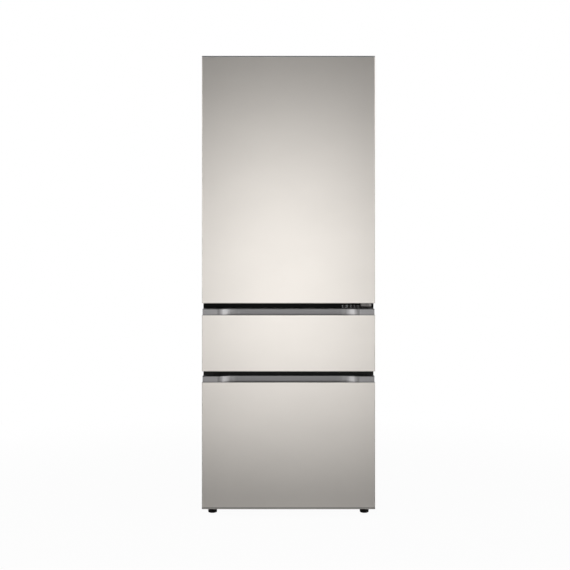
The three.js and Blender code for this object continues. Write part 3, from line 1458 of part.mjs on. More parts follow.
function foot(side) {
  const profile = [
    [0, 0],
    [FOOT_RADIUS - 4, 0],
    [FOOT_RADIUS - 1.2, 1.2],
    [FOOT_RADIUS, 4],
    [FOOT_RADIUS, FOOT_HEIGHT - FOOT_SHOULDER - 3],
    [FOOT_RADIUS - FOOT_SHOULDER, FOOT_HEIGHT - 3],
    [FOOT_RADIUS - FOOT_SHOULDER, FOOT_HEIGHT],
    [STUD_RADIUS, FOOT_HEIGHT],
    [STUD_RADIUS, STUD_TOP],
    [0, STUD_TOP],
  ];
  return turned(profile, side * FOOT_X, FOOT_DEPTH);
}

function roller(side) {
  const segments = 24;
  const x = side * ROLLER_X;
  const half = ROLLER_WIDTH / 2;
  const reach = half + CHEEK + 1.5;
  const edge = 1.5;
  const tread = ROLLER_RADIUS / Math.cos(Math.PI / segments);
  const profile = [
    [0, x - reach],
    [AXLE_RADIUS, x - reach],
    [AXLE_RADIUS, x - half],
    [tread - edge, x - half],
    [tread, x - half + edge],
    [tread, x + half - edge],
    [tread - edge, x + half],
    [AXLE_RADIUS, x + half],
    [AXLE_RADIUS, x + reach],
    [0, x + reach],
  ];
  return wheel(profile, ROLLER_DEPTH, ROLLER_RADIUS, segments);
}

// ---------------------------------------------------------------- assembly

addPiece("cabinet_shell", cabinetShell(), "cabinetMetal");
addPiece("insulation_foam", insulationFoam(), "foam");
addPiece("upper_liner", join(linerOf("upper"), ...shelfRibs()), "whiteLiner");
addPiece("middle_liner", linerOf("middle"), "whiteLiner");
addPiece("lower_liner", linerOf("lower"), "whiteLiner");
addPiece("back_panel", backPanel(), "zincSteel");
addPiece("base_plate", basePlate(), "zincSteel");
addPiece("machine_cover", machineCover(), "zincSteel");
addPiece("upper_mullion", mullionPlate("middle", "upper"), "cabinetMetal");
addPiece("lower_mullion", lowerMullion(), "blackPlastic");
addPiece("control_panel", controlPanel(), "blackGloss");
addPiece("top_hinge", topHinge(), "hingeSteel");
addPiece("hinge_cover", hingeCover(), "blackPlastic");
addPiece("middle_hinge", middleHinge(), "hingeSteel");
addPiece("compressor", compressor(), "compressorBlack");
addPiece("fan_bracket", fanBracket(), "zincSteel");
addPiece("cooling_fan", coolingFan(), "blackPlastic");
SHELF_LEVELS.forEach((level, i) => addPiece(`shelf_${i + 1}`, shelf(level), "shelfClear"));

const upperDoor = new THREE.Group();
const doorSkin = cut(frontSkin([DOOR_BOTTOM, DOOR_TOP - CAP_LIP]), hingePocket());
addPiece("upper_door_skin", doorSkin, "frontMetal", upperDoor);
addPiece("upper_door_liner", doorLiner(), "whiteLiner", upperDoor);
addPiece("upper_door_top_cap", topCap(), "blackPlastic", upperDoor);
addPiece("upper_door_bottom_cap", bottomCap(), "blackPlastic", upperDoor);
addPiece("upper_door_gasket", gasket("upper"), "rubberGrey", upperDoor);
BIN_LEVELS.forEach((level, i) => addPiece(`door_bin_${i + 1}`, doorBin(level), "shelfClear", upperDoor));
refrigerator.add(upperDoor);

const DRAWERS = [
  { zone: "middle", panel: MIDDLE_PANEL, top: MIDDLE_TOP },
  { zone: "lower", panel: LOWER_PANEL, top: LOWER_TOP },
];
for (const { zone, panel, top } of DRAWERS) {
  const drawer = new THREE.Group();
  addPiece(`${zone}_drawer_skin`, frontSkin(panel), "frontMetal", drawer);
  addPiece(`${zone}_drawer_liner`, drawerLiner(zone, panel, top), "whiteLiner", drawer);
  addPiece(`${zone}_drawer_gasket`, gasket(zone), "rubberGrey", drawer);
  addPiece(`${zone}_drawer_handle`, drawerHandle(panel, top), "handleMetal", drawer);
  addPiece(`${zone}_drawer_frame`, drawerFrame(zone), "zincSteel", drawer);
  addPiece(`${zone}_drawer_box`, drawerBox(zone), "whiteLiner", drawer);
  refrigerator.add(drawer);
  for (const [name, side] of Object.entries(SIDES)) {
    addPiece(`${zone}_rail_${name}`, outerRail(zone, side), "zincSteel");
    addPiece(`${zone}_slide_${name}`, slideMember(zone, side), "zincSteel");
  }
}

for (const [name, side] of Object.entries(SIDES)) {
  addPiece(`foot_${name}`, foot(side), "blackPlastic");
  addPiece(`roller_${name}`, roller(side), "blackPlastic");
}
TUBS.forEach((spec, i) => {
  addPiece(`tub_${i + 1}`, tub(spec), "tubIvory");
  addPiece(`lid_${i + 1}`, lid(spec), "lidGrey");
});

export default refrigerator;
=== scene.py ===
import json
import math

import bmesh
import bpy
from mathutils import Matrix, Vector


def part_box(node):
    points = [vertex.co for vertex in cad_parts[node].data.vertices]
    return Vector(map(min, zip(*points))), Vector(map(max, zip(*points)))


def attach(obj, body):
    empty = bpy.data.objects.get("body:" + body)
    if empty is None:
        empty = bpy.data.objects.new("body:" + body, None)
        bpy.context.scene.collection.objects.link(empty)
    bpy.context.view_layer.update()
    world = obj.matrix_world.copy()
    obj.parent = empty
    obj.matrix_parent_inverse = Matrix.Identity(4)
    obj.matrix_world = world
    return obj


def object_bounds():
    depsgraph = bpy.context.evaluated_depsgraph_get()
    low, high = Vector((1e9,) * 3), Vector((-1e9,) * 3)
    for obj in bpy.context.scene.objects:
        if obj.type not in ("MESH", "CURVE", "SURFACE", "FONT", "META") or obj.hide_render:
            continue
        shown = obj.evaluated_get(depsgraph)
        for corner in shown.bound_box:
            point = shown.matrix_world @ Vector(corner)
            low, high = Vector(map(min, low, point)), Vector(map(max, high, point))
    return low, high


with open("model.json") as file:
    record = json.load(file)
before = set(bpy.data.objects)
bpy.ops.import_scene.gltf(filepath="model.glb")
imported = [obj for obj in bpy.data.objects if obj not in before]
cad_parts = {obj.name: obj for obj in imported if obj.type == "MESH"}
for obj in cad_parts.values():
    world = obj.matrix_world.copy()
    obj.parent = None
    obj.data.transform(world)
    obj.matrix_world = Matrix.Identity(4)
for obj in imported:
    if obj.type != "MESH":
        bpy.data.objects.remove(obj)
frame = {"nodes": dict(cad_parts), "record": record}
CAD_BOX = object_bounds()

# ---------------------------------------------------------------- the frame's places, in metres

MM = 0.001
FRONT_Y = CAD_BOX[0].y
FRONT_WIDTH = CAD_BOX[1].x - CAD_BOX[0].x

FORWARDS = (0, -1, 0)
BACKWARDS = (0, 1, 0)
UPWARDS = (0, 0, 1)

BODIES = frame["record"]["behaviour"]["bodies"]
BODY_OF = {node: body for body, nodes in BODIES.items() for node in nodes}
SLOT_OF = {part["node"]: part["material_slot"] for part in frame["record"]["subparts"]}


def low(node):
    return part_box(node)[0]


def high(node):
    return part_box(node)[1]


# ---------------------------------------------------------------- shader nodes

# Most values of a noise or of cells lie between these.
TEXTURE_RANGE = (0.3, 0.7)


def add_node(tree, kind, **settings):
    node = tree.nodes.new(kind)
    for key, value in settings.items():
        setattr(node, key, value)
    return node


def object_place(tree):
    return add_node(tree, "ShaderNodeTexCoord").outputs["Object"]


def component(tree, vector, axis):
    """The X, Y or Z of a vector."""
    split = add_node(tree, "ShaderNodeSeparateXYZ")
    tree.links.new(vector, split.inputs["Vector"])
    return split.outputs[axis]


def map_range(tree, value, source, target=(0.0, 1.0), smooth=False):
    """The value mapped from the source range to the target range, and held at their ends."""
    kind = "SMOOTHSTEP" if smooth else "LINEAR"
    node = add_node(tree, "ShaderNodeMapRange", interpolation_type=kind)
    for socket, number in zip(("From Min", "From Max", "To Min", "To Max"), (*source, *target)):
        node.inputs[socket].default_value = number
    tree.links.new(value, node.inputs["Value"])
    return node.outputs["Result"]


def level_ramp(tree, value, stops):
    """The grey level that the (place, level) stops give for the value."""
    start, end = stops[0][0], stops[-1][0]
    ramp = add_node(tree, "ShaderNodeValToRGB")
    elements = ramp.color_ramp.elements
    for place, _ in stops[1:-1]:
        elements.new((place - start) / (end - start))
    for element, (_, level) in zip(elements, stops):
        element.color = (level, level, level, 1.0)
    tree.links.new(map_range(tree, value, (start, end)), ramp.inputs["Fac"])
    return ramp.outputs["Color"]


class Surface:
    """A Principled material with short calls for the procedural detail that drives it."""

    def __init__(self, name, color, roughness, metallic=0.0):
        self.material = bpy.data.materials.new(name)
        self.material.use_nodes = True
        self.tree = self.material.node_tree
        self.shader = self.tree.nodes["Principled BSDF"]
        self.color = color
        self.roughness = roughness
        self.normal = None
        self.set("Base Color", (*color, 1.0))
        self.set("Roughness", roughness)
        self.set("Metallic", metallic)

    def set(self, socket, value):
        self.shader.inputs[socket].default_value = value

    def drive(self, socket, output):
        self.tree.links.new(output, self.shader.inputs[socket])

    def texture(self, kind, stretch):
        """A texture on the object's place, times one number or one number for each axis."""
        mapping = add_node(self.tree, "ShaderNodeMapping")
        mapping.inputs["Scale"].default_value = stretch if isinstance(stretch, tuple) else (stretch,) * 3
        self.tree.links.new(object_place(self.tree), mapping.inputs["Vector"])
        node = add_node(self.tree, kind)
        node.inputs["Scale"].default_value = 1.0
        self.tree.links.new(mapping.outputs["Vector"], node.inputs["Vector"])
        return node

    def noise(self, stretch, detail=3.0, roughness=0.55):
        node = self.texture("ShaderNodeTexNoise", stretch)
        node.inputs["Detail"].default_value = detail
        node.inputs["Roughness"].default_value = roughness
        return node.outputs["Fac"]

    def cells(self, stretch, output):
        return self.texture("ShaderNodeTexVoronoi", stretch).outputs[output]

    def height(self):
        return component(self.tree, object_place(self.tree), "Z")

    def from_middle(self):
        """The distance to the object's middle, on either side."""
        distance = add_node(self.tree, "ShaderNodeMath", operation="ABSOLUTE")
        self.tree.links.new(component(self.tree, object_place(self.tree), "X"), distance.inputs[0])
        return distance.outputs[0]

    def vary_color(self, texture, darker, lighter):
        """The colour runs from one multiple of itself to another."""
        mix = add_node(self.tree, "ShaderNodeMix", data_type="RGBA")
        for socket, level in (("A", darker), ("B", lighter)):
            mix.inputs[socket].default_value = (*[min(1.0, c * level) for c in self.color], 1.0)
        self.tree.links.new(map_range(self.tree, texture, TEXTURE_RANGE), mix.inputs["Factor"])
        self.drive("Base Color", mix.outputs["Result"])

    def vary_roughness(self, texture, amount):
        """The roughness runs from that much less to that much more."""
        target = (self.roughness - amount, self.roughness + amount)
        self.drive("Roughness", map_range(self.tree, texture, TEXTURE_RANGE, target))

    def shade(self, value, stops):
        """Painted shade or painted highlight: the varied colour is multiplied by the level that the
        (place, level) stops give.
        """
        mix = add_node(self.tree, "ShaderNodeMix", data_type="RGBA", blend_type="MULTIPLY")
        mix.inputs["Factor"].default_value = 1.0
        varied = self.shader.inputs["Base Color"].links[0].from_socket
        self.tree.links.new(varied, mix.inputs["A"])
        self.tree.links.new(level_ramp(self.tree, value, stops), mix.inputs["B"])
        self.drive("Base Color", mix.outputs["Result"])

    def bump(self, relief, depth, strength=1.0):
        """A relief of that depth, on top of the reliefs before it."""
        node = add_node(self.tree, "ShaderNodeBump")
        node.inputs["Strength"].default_value = strength
        node.inputs["Distance"].default_value = depth
        self.tree.links.new(relief, node.inputs["Height"])
        if self.normal is not None:
            self.tree.links.new(self.normal, node.inputs["Normal"])
        self.normal = node.outputs["Normal"]
        self.drive("Normal", self.normal)


# ---------------------------------------------------------------- metals of the fronts and handles

# Painted shade and painted highlight beside a panel's edges, as levels that multiply its colour:
# (millimetres inside the edge, level).
CREASE_SHADE_AND_HIGHLIGHT_LEVELS = [(0.0, 0.80), (2.4, 0.84), (3.4, 1.045), (6.4, 1.045), (9.0, 1.0)]
SIDE_SHADE_LEVELS = [(0.1, 0.52), (0.5, 0.72), (3.0, 0.84), (4.5, 1.0)]
HEM_SHADE_LEVELS = [(0.0, 0.62), (8.0, 0.62), (8.64, 1.0)]

# Painted shade and painted highlight over a handle strip, as levels: (millimetres above its foot, below
# its top or from its middle, level).
STRIP_FOOT_SHADE_LEVELS = [(0.0, 0.72), (4.0, 0.78), (6.0, 1.0)]
STRIP_TOP_SHADE_LEVELS = [(1.6, 0.12), (2.2, 1.0)]
STRIP_RECESS_SHADE_AND_BEND_HIGHLIGHT_LEVELS = [
    (192, 0.75),
    (206, 0.86),
    (220, 1.18),
    (232, 1.34),
    (244, 1.42),
    (262, 1.42),
    (268, 1.0),
]
# Where the slope of a bend starts and ends, away from the middle, and how much it rises.
SLOPE_PLACES = (196 * MM, 242.5 * MM)
SLOPE_RISE = 6.2 * MM


def stops_from(edge, levels, inward=1):
    """Ramp stops for levels that run from an edge up the axis, or down it where inward is -1."""
    stops = [(edge + inward * away * MM, level) for away, level in levels]
    return stops if inward > 0 else stops[::-1]


def brushed_front(name="front_metal"):
    metal = Surface(name, (0.80, 0.76, 0.712), 0.40, 1.0)
    hairline = metal.noise((14, 14, 2600), 4.0, 0.7)
    metal.vary_color(metal.noise((3, 3, 5), 2.0), 0.985, 1.015)
    metal.vary_roughness(hairline, 0.035)
    metal.bump(hairline, 0.01 * MM, 0.25)
    return metal


def front_with_painted_edge_shading(node, painted_creases, shaded_hem=False):
    """A panel's metal, with painted shade along its side edges, painted shade and a painted highlight
    beside some edges for a crease, and maybe painted shade along its hem.
    """
    metal = brushed_front(f"{node}_metal")
    bottom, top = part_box(node)
    height = metal.height()
    # Painted shade along both side edges, darkest on the side faces.
    metal.shade(metal.from_middle(), stops_from(top.x, SIDE_SHADE_LEVELS, -1))
    # Painted shade at the very edge and a painted highlight just inside it, beside each crease that is
    # asked for.
    if "bottom" in painted_creases:
        metal.shade(height, stops_from(bottom.z, CREASE_SHADE_AND_HIGHLIGHT_LEVELS))
    if "top" in painted_creases:
        metal.shade(height, stops_from(top.z, CREASE_SHADE_AND_HIGHLIGHT_LEVELS, -1))
    # Painted shade in a band along the bottom edge.
    if shaded_hem:
        metal.shade(height, stops_from(bottom.z, HEM_SHADE_LEVELS))
    return metal


def brushed_handle(name="handle_metal"):
    metal = Surface(name, (0.375, 0.368, 0.372), 0.46, 1.0)
    hairline = metal.noise((10, 60, 3800), 4.0, 0.7)
    metal.vary_color(hairline, 0.93, 1.07)
    metal.vary_roughness(hairline, 0.05)
    metal.bump(hairline, 0.01 * MM, 0.3)
    return metal


def recessed_handle(node, panel):
    """The strip's metal, with painted shade in the recess, a painted highlight on its bends, and painted
    shade along its foot and its top.

    A slope in the relief makes each bend look longer towards the middle.
    """
    metal = brushed_handle(f"{node}_metal")
    away, height = metal.from_middle(), metal.height()
    # Painted shade in the recess and a painted highlight on the bends.
    metal.shade(away, stops_from(0.0, STRIP_RECESS_SHADE_AND_BEND_HIGHLIGHT_LEVELS))
    # Painted shade along the strip's foot.
    metal.shade(height, stops_from(high(panel).z, STRIP_FOOT_SHADE_LEVELS))
    # Painted shade along the strip's top.
    metal.shade(height, stops_from(high(node).z, STRIP_TOP_SHADE_LEVELS, -1))
    metal.bump(map_range(metal.tree, away, SLOPE_PLACES, smooth=True), SLOPE_RISE)
    return metal


# ---------------------------------------------------------------- other metals and paints


def coated_cabinet():
    paint = Surface("cabinet_metal", (0.36, 0.35, 0.34), 0.42, 0.55)
    peel = paint.noise(900, 2.0)
    paint.vary_color(paint.noise(2.2), 0.96, 1.04)
    paint.vary_roughness(peel, 0.05)
    paint.bump(peel, 0.02 * MM, 0.3)
    return paint


def galvanised():
    zinc = Surface("zinc_steel", (0.60, 0.61, 0.62), 0.44, 0.85)
    spangle = zinc.cells(190, "Color")
    zinc.vary_color(spangle, 0.93, 1.05)
    zinc.vary_roughness(spangle, 0.03)
    zinc.bump(zinc.noise((60, 60, 400)), 0.03 * MM, 0.3)
    return zinc


def hinge_coating():
    coating = Surface("hinge_steel", (0.205, 0.193, 0.185), 0.42, 0.5)
    grain = coating.noise(700, 2.0)
    coating.vary_color(grain, 0.9, 1.1)
    coating.vary_roughness(grain, 0.06)
    coating.bump(grain, 0.03 * MM, 0.4)
    return coating


def compressor_paint():
    paint = Surface("compressor_black", (0.02, 0.021, 0.023), 0.32, 0.1)
    peel = paint.noise(260, 2.0)
    paint.vary_color(paint.noise(14, 4.0), 0.8, 1.5)
    paint.vary_roughness(peel, 0.08)
    paint.bump(peel, 0.08 * MM, 0.5)
    return paint


def screw_steel():
    steel = Surface("screw_steel", (0.52, 0.52, 0.53), 0.28, 1.0)
    turning = steel.noise(500, 2.0)
    steel.vary_color(turning, 0.85, 1.1)
    steel.vary_roughness(turning, 0.08)
    return steel


def copper_tube():
    copper = Surface("copper_tube", (0.72, 0.38, 0.24), 0.3, 1.0)
    tarnish = copper.noise(45, 4.0)
    copper.vary_color(tarnish, 0.6, 1.1)
    copper.vary_roughness(tarnish, 0.1)
    return copper


# ---------------------------------------------------------------- plastics, rubbers and foam


def textured_black():
    plastic = Surface("black_plastic", (0.010, 0.0095, 0.0095), 0.5)
    plastic.set("Specular IOR Level", 0.28)
    grain = plastic.noise(1300)
    plastic.vary_color(plastic.noise(18), 0.85, 1.3)
    plastic.vary_roughness(grain, 0.08)
    plastic.bump(grain, 0.06 * MM, 0.5)
    return plastic


def glossy_black():
    plastic = Surface("black_gloss", (0.004, 0.0036, 0.0036), 0.35)
    plastic.set("Specular IOR Level", 0.05)
    smudge = plastic.noise((26, 26, 60), 4.0)
    plastic.vary_color(smudge, 0.8, 1.2)
    plastic.vary_roughness(smudge, 0.03)
    plastic.bump(plastic.noise(40, 1.0), 0.01 * MM, 0.15)
    return plastic


def liner_white():
    plastic = Surface("white_liner", (0.83, 0.845, 0.85), 0.34)
    peel = plastic.noise(420, 2.0)
    plastic.vary_color(plastic.noise(5, 2.0), 0.985, 1.012)
    plastic.vary_roughness(peel, 0.06)
    plastic.bump(peel, 0.04 * MM, 0.35)
    return plastic


def closed_foam():
    foam = Surface("foam", (0.86, 0.78, 0.55), 0.92)
    foam.vary_color(foam.noise(30), 0.9, 1.06)
    foam.bump(foam.cells(420, "Distance"), 0.6 * MM, 0.7)
    return foam


def soft_rubber():
    rubber = Surface("gasket_rubber", (0.17, 0.17, 0.175), 0.62)
    bloom = rubber.noise(24, 4.0)
    rubber.vary_color(bloom, 0.88, 1.16)
    rubber.vary_roughness(bloom, 0.08)
    rubber.bump(rubber.noise(800, 2.0), 0.03 * MM, 0.3)
    return rubber


def foot_rubber():
    rubber = Surface("foot_rubber", (0.005, 0.005, 0.005), 0.6)
    rubber.set("Specular IOR Level", 0.08)
    grain = rubber.noise(900, 2.0)
    rubber.vary_color(grain, 0.8, 1.2)
    rubber.vary_roughness(grain, 0.06)
    return rubber


def clear_plastic():
    plastic = Surface("clear_plastic", (0.93, 0.955, 0.965), 0.22)
    plastic.set("Transmission Weight", 0.55)
    plastic.set("IOR", 1.49)
    haze = plastic.noise(30)
    plastic.vary_color(haze, 0.97, 1.02)
    plastic.vary_roughness(haze, 0.05)
    plastic.bump(plastic.noise(200, 2.0), 0.04 * MM, 0.3)
    return plastic


def tub_plastic():
    plastic = Surface("tub_plastic", (0.84, 0.81, 0.74), 0.38)
    plastic.set("Subsurface Weight", 0.12)
    plastic.set("Subsurface Scale", 4 * MM)
    grain = plastic.noise(900, 2.0)
    plastic.vary_color(plastic.noise(12), 0.975, 1.02)
    plastic.vary_roughness(grain, 0.07)
    plastic.bump(grain, 0.04 * MM, 0.4)
    return plastic


def lid_plastic():
    plastic = Surface("lid_plastic", (0.30, 0.32, 0.335), 0.42)
    grain = plastic.noise(1100, 2.0)
    plastic.vary_color(plastic.noise(16), 0.94, 1.05)
    plastic.vary_roughness(grain, 0.07)
    plastic.bump(grain, 0.05 * MM, 0.45)
    return plastic


def grey_cap():
    plastic = Surface("grey_cap", (0.21, 0.225, 0.225), 0.45, 0.3)
    grain = plastic.noise(900, 2.0)
    plastic.vary_color(grain, 0.94, 1.06)
    plastic.vary_roughness(grain, 0.05)
    return plastic


def panel_print():
    ink = Surface("panel_print", (0.80, 0.81, 0.81), 0.45)
    grain = ink.noise(700, 2.0)
    ink.vary_color(grain, 0.9, 1.08)
    ink.vary_roughness(grain, 0.05)
    return ink


def display_window():
    plastic = Surface("display_window", (0.056, 0.052, 0.051), 0.4)
    plastic.set("Specular IOR Level", 0.1)
    smudge = plastic.noise((26, 26, 60), 4.0)
    plastic.vary_color(smudge, 0.9, 1.1)
    plastic.vary_roughness(smudge, 0.04)
    return plastic


def lamp_lens():
    plastic = Surface("lamp_lens", (0.93, 0.93, 0.91), 0.3)
    plastic.set("Transmission Weight", 0.25)
    ribs = plastic.noise((900, 20, 20), 1.0)
    plastic.vary_color(ribs, 0.96, 1.0)
    plastic.bump(ribs, 0.1 * MM, 0.5)
    return plastic


# ---------------------------------------------------------------- finishes

# By material slot.
FINISHES = {
    "front_metal": brushed_front(),
    "cabinet_metal": coated_cabinet(),
    "zinc_steel": galvanised(),
    "handle_metal": brushed_handle(),
    "hinge_steel": hinge_coating(),
    "black_plastic": textured_black(),
    "black_gloss": glossy_black(),
    "white_liner": liner_white(),
    "foam": closed_foam(),
    "gasket_rubber": soft_rubber(),
    "compressor_black": compressor_paint(),
    "clear_plastic": clear_plastic(),
    "tub_plastic": tub_plastic(),
    "lid_plastic": lid_plastic(),
}
EXTRA_FINISHES = {
    "grey_cap": grey_cap(),
    "screw_steel": screw_steel(),
    "copper_tube": copper_tube(),
    "panel_print": panel_print(),
    "foot_rubber": foot_rubber(),
    "display_window": display_window(),
    "lamp_lens": lamp_lens(),
}
# By CAD node, where a node differs from the rest of its slot.
NODE_FINISHES = {
    "upper_door_skin": front_with_painted_edge_shading("upper_door_skin", ("bottom",)),
    "middle_drawer_skin": front_with_painted_edge_shading("middle_drawer_skin", ("bottom", "top")),
    "lower_drawer_skin": front_with_painted_edge_shading("lower_drawer_skin", ("top",), shaded_hem=True),
    "middle_drawer_handle": recessed_handle("middle_drawer_handle", "middle_drawer_skin"),
    "lower_drawer_handle": recessed_handle("lower_drawer_handle", "lower_drawer_skin"),
    "upper_door_top_cap": EXTRA_FINISHES["grey_cap"],
    "foot_left": EXTRA_FINISHES["foot_rubber"],
    "foot_right": EXTRA_FINISHES["foot_rubber"],
}

# ---------------------------------------------------------------- dressing the CAD nodes

SMOOTH_ANGLE = math.radians(36)
WELD_DISTANCE = 0.01 * MM
EDGE_SEGMENTS = 2
DEFAULT_ROUNDING = 0.6 * MM
EDGE_ROUNDING = {
    "upper_door_skin": 0.45 * MM,
    "middle_drawer_skin": 0.45 * MM,
    "lower_drawer_skin": 0.45 * MM,
    "middle_drawer_handle": 0.5 * MM,
    "lower_drawer_handle": 0.5 * MM,
    "control_panel": 0.4 * MM,
    "middle_hinge": 0.7 * MM,
    "top_hinge": 0.7 * MM,
    "base_plate": 0.35 * MM,
    "cabinet_shell": 0.35 * MM,
    "machine_cover": 0.3 * MM,
    "back_panel": 0.3 * MM,
    "hinge_cover": 0.5 * MM,
}

# The compressor's shell: its axis from the node's left side, its reach with its rim, its feet's height.
SHELL_AXIS = 88 * MM
SHELL_REACH = 77.5 * MM
SHELL_FEET = 20 * MM


def weld_and_round(obj, width):
    weld = obj.modifiers.new("weld", "WELD")
    weld.merge_threshold = WELD_DISTANCE
    bevel = obj.modifiers.new("edges", "BEVEL")
    bevel.width = width
    bevel.segments = EDGE_SEGMENTS
    bevel.limit_method = "ANGLE"
    bevel.angle_limit = SMOOTH_ANGLE
    obj.modifiers.new("flat_faces", "WEIGHTED_NORMAL")
    obj.data.shade_smooth()


def pipes_in_copper(mesh):
    """The refrigerant pipes beside the compressor's shell get a metal of their own."""
    bottom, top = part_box("compressor")
    axis = Vector((bottom.x + SHELL_AXIS, (bottom.y + top.y) / 2))
    mesh.materials.append(EXTRA_FINISHES["copper_tube"].material)
    for face in mesh.polygons:
        away = face.center.xy - axis
        if away.x > 0 and away.length > SHELL_REACH and face.center.z > bottom.z + SHELL_FEET:
            face.material_index = 1


for name, obj in frame["nodes"].items():
    finish = NODE_FINISHES.get(name) or FINISHES[SLOT_OF[name]]
    obj.data.materials.clear()
    obj.data.materials.append(finish.material)
    weld_and_round(obj, EDGE_ROUNDING.get(name, DEFAULT_ROUNDING))
pipes_in_copper(frame["nodes"]["compressor"].data)

# ---------------------------------------------------------------- building pieces


def finish_piece(name, mesh, finish, body):
    """A new piece with its finish, on its body."""
    obj = bpy.data.objects.new(name, mesh)
    bpy.context.scene.collection.objects.link(obj)
    surface = FINISHES.get(finish) or EXTRA_FINISHES[finish]
    obj.data.materials.append(surface.material)
    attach(obj, body)


def mesh_from(builder, smooth=True):
    bm = bmesh.new()
    builder(bm)
    bmesh.ops.recalc_face_normals(bm, faces=bm.faces)
    mesh = bpy.data.meshes.new("piece")
    bm.to_mesh(mesh)
    bm.free()
    if smooth:
        mesh.shade_smooth()
        mesh.set_sharp_from_angle(angle=SMOOTH_ANGLE)
    return mesh


def add_slab(bm, corner_low, corner_high, rounding=0.0):
    """A block between two corners, its edges rounded over that width."""
    size = Vector(corner_high) - Vector(corner_low)
    centre = (Vector(corner_high) + Vector(corner_low)) / 2
    made = bmesh.ops.create_cube(bm, size=1.0)
    bmesh.ops.scale(bm, vec=size, verts=made["verts"])
    bmesh.ops.translate(bm, vec=centre, verts=made["verts"])
    if rounding:
        edges = list({e for v in made["verts"] for e in v.link_edges})
        bmesh.ops.bevel(
            bm,
            geom=edges,
            offset=rounding,
            segments=EDGE_SEGMENTS,
            profile=0.5,
            affect="EDGES",
        )


def add_turned(bm, profile, centre, axis, sides):
    """A turned solid: profile of (radius, distance along the axis), from one end to the other."""
    turn = Vector(UPWARDS).rotation_difference(Vector(axis)).to_matrix()
    rings = []
    for radius, along in profile:
        ring = []
        for i in range(1 if radius == 0 else sides):
            angle = 2 * math.pi * i / sides
            point = Vector((radius * math.cos(angle), radius * math.sin(angle), along))
            ring.append(bm.verts.new(Vector(centre) + turn @ point))
        rings.append(ring)
    for a, b in zip(rings, rings[1:]):
        for i in range(sides):
            j = (i + 1) % sides
            quad = [a[i % len(a)], a[j % len(a)], b[j % len(b)], b[i % len(b)]]
            face = list(dict.fromkeys(quad))
            if len(face) > 2:
                bm.faces.new(face)


def slab_piece(name, corner_low, corner_high, rounding, finish, body):
    """A piece that is one rounded block."""

    def build(bm):
        add_slab(bm, corner_low, corner_high, rounding)

    finish_piece(name, mesh_from(build), finish, body)


# ---------------------------------------------------------------- the display

WINDOW_PROUD = 0.25 * MM
WINDOW_SUNK = 0.1 * MM
WINDOW_FOOT = 1.1 * MM
# The left end, right end and top of its two parts. The right one runs under the hinge bracket's arm.
WINDOW_PARTS = [
    (217.5 * MM, 292.5 * MM, 12.8 * MM),
    (292.5 * MM, 339.5 * MM, 5.6 * MM),
]

# The marks stand this far out of the window, and the digits and bars go as far into it. Heights are
# above the panel's foot.
MARK_PROUD = 0.12 * MM
DIGIT_WIDTH = 4.6 * MM
DIGIT_HEIGHT = 8.2 * MM
DIGIT_GAP = 1.4 * MM
DIGIT_FOOT = 4.0 * MM
STROKE = 1.25 * MM
# A lying segment stops this far short of the digit's sides, a standing one of its own half's ends.
LYING_GAP = STROKE * 0.6
STANDING_GAP = STROKE * 0.5
BAR_FOOT = 1.8 * MM
BAR_TOP = 2.7 * MM
GROUP_BAR = 7.6 * MM
DOT_BAR = 3.6 * MM
DOT_RADIUS = 1.3 * MM
DOT_LEVEL = 8.6 * MM
DOT_SIDES = 14
DIGIT_GROUPS = [(217 * MM, (3,)), (231 * MM, (1, 8)), (252 * MM, (2,)), (266 * MM, (4,))]
DOT_PLACES = [280 * MM, 286 * MM]

# The lit segments of each digit, named a to g in the usual way.
DIGIT_SEGMENTS = {1: "bc", 2: "abged", 3: "abgcd", 4: "fgbc", 8: "abcdefg"}


def segment_box(segment):
    """The left, bottom, right and top of one segment in a digit."""
    half = DIGIT_HEIGHT / 2
    across = {"a": DIGIT_HEIGHT - STROKE, "g": half - STROKE / 2, "d": 0}
    if segment in across:
        bottom = across[segment]
        return LYING_GAP, bottom, DIGIT_WIDTH - LYING_GAP, bottom + STROKE
    left = 0 if segment in "ef" else DIGIT_WIDTH - STROKE
    bottom = 0 if segment in "ec" else half
    return left, bottom + STANDING_GAP, left + STROKE, bottom + half - STANDING_GAP


def window_plate():
    face = low("control_panel").y
    foot = low("control_panel").z

    def build(bm):
        for left, right, top in WINDOW_PARTS:
            add_slab(
                bm,
                (left, face - WINDOW_PROUD, foot + WINDOW_FOOT),
                (right, face + WINDOW_SUNK, foot + top),
            )

    mesh = mesh_from(build, smooth=False)
    finish_piece("display_window", mesh, "display_window", "root")


def display_marks():
    """Plain digits in groups and two dots, each with a bar under it."""
    face = low("control_panel").y - WINDOW_PROUD
    foot = low("control_panel").z

    def add_mark(bm, left, bottom, right, top):
        add_slab(bm, (left, face - MARK_PROUD, bottom), (right, face + MARK_PROUD, top))

    def add_digit(bm, digit, x):
        for segment in DIGIT_SEGMENTS[digit]:
            left, bottom, right, top = segment_box(segment)
            base = foot + DIGIT_FOOT
            add_mark(bm, x + left, base + bottom, x + right, base + top)

    def add_bar(bm, x, length):
        add_mark(bm, x, foot + BAR_FOOT, x + length, foot + BAR_TOP)

    def build(bm):
        for start, digits in DIGIT_GROUPS:
            for i, digit in enumerate(digits):
                add_digit(bm, digit, start + i * (DIGIT_WIDTH + DIGIT_GAP))
            add_bar(bm, start, GROUP_BAR)
        dot = [(0, 0), (DOT_RADIUS, 0), (DOT_RADIUS, MARK_PROUD), (0, MARK_PROUD)]
        for x in DOT_PLACES:
            add_turned(bm, dot, (x, face, foot + DOT_LEVEL), FORWARDS, DOT_SIDES)
            add_bar(bm, x - DOT_BAR / 2, DOT_BAR)

    mesh = mesh_from(build, smooth=False)
    finish_piece("display_marks", mesh, "panel_print", "root")


window_plate()
display_marks()

# ---------------------------------------------------------------- fasteners

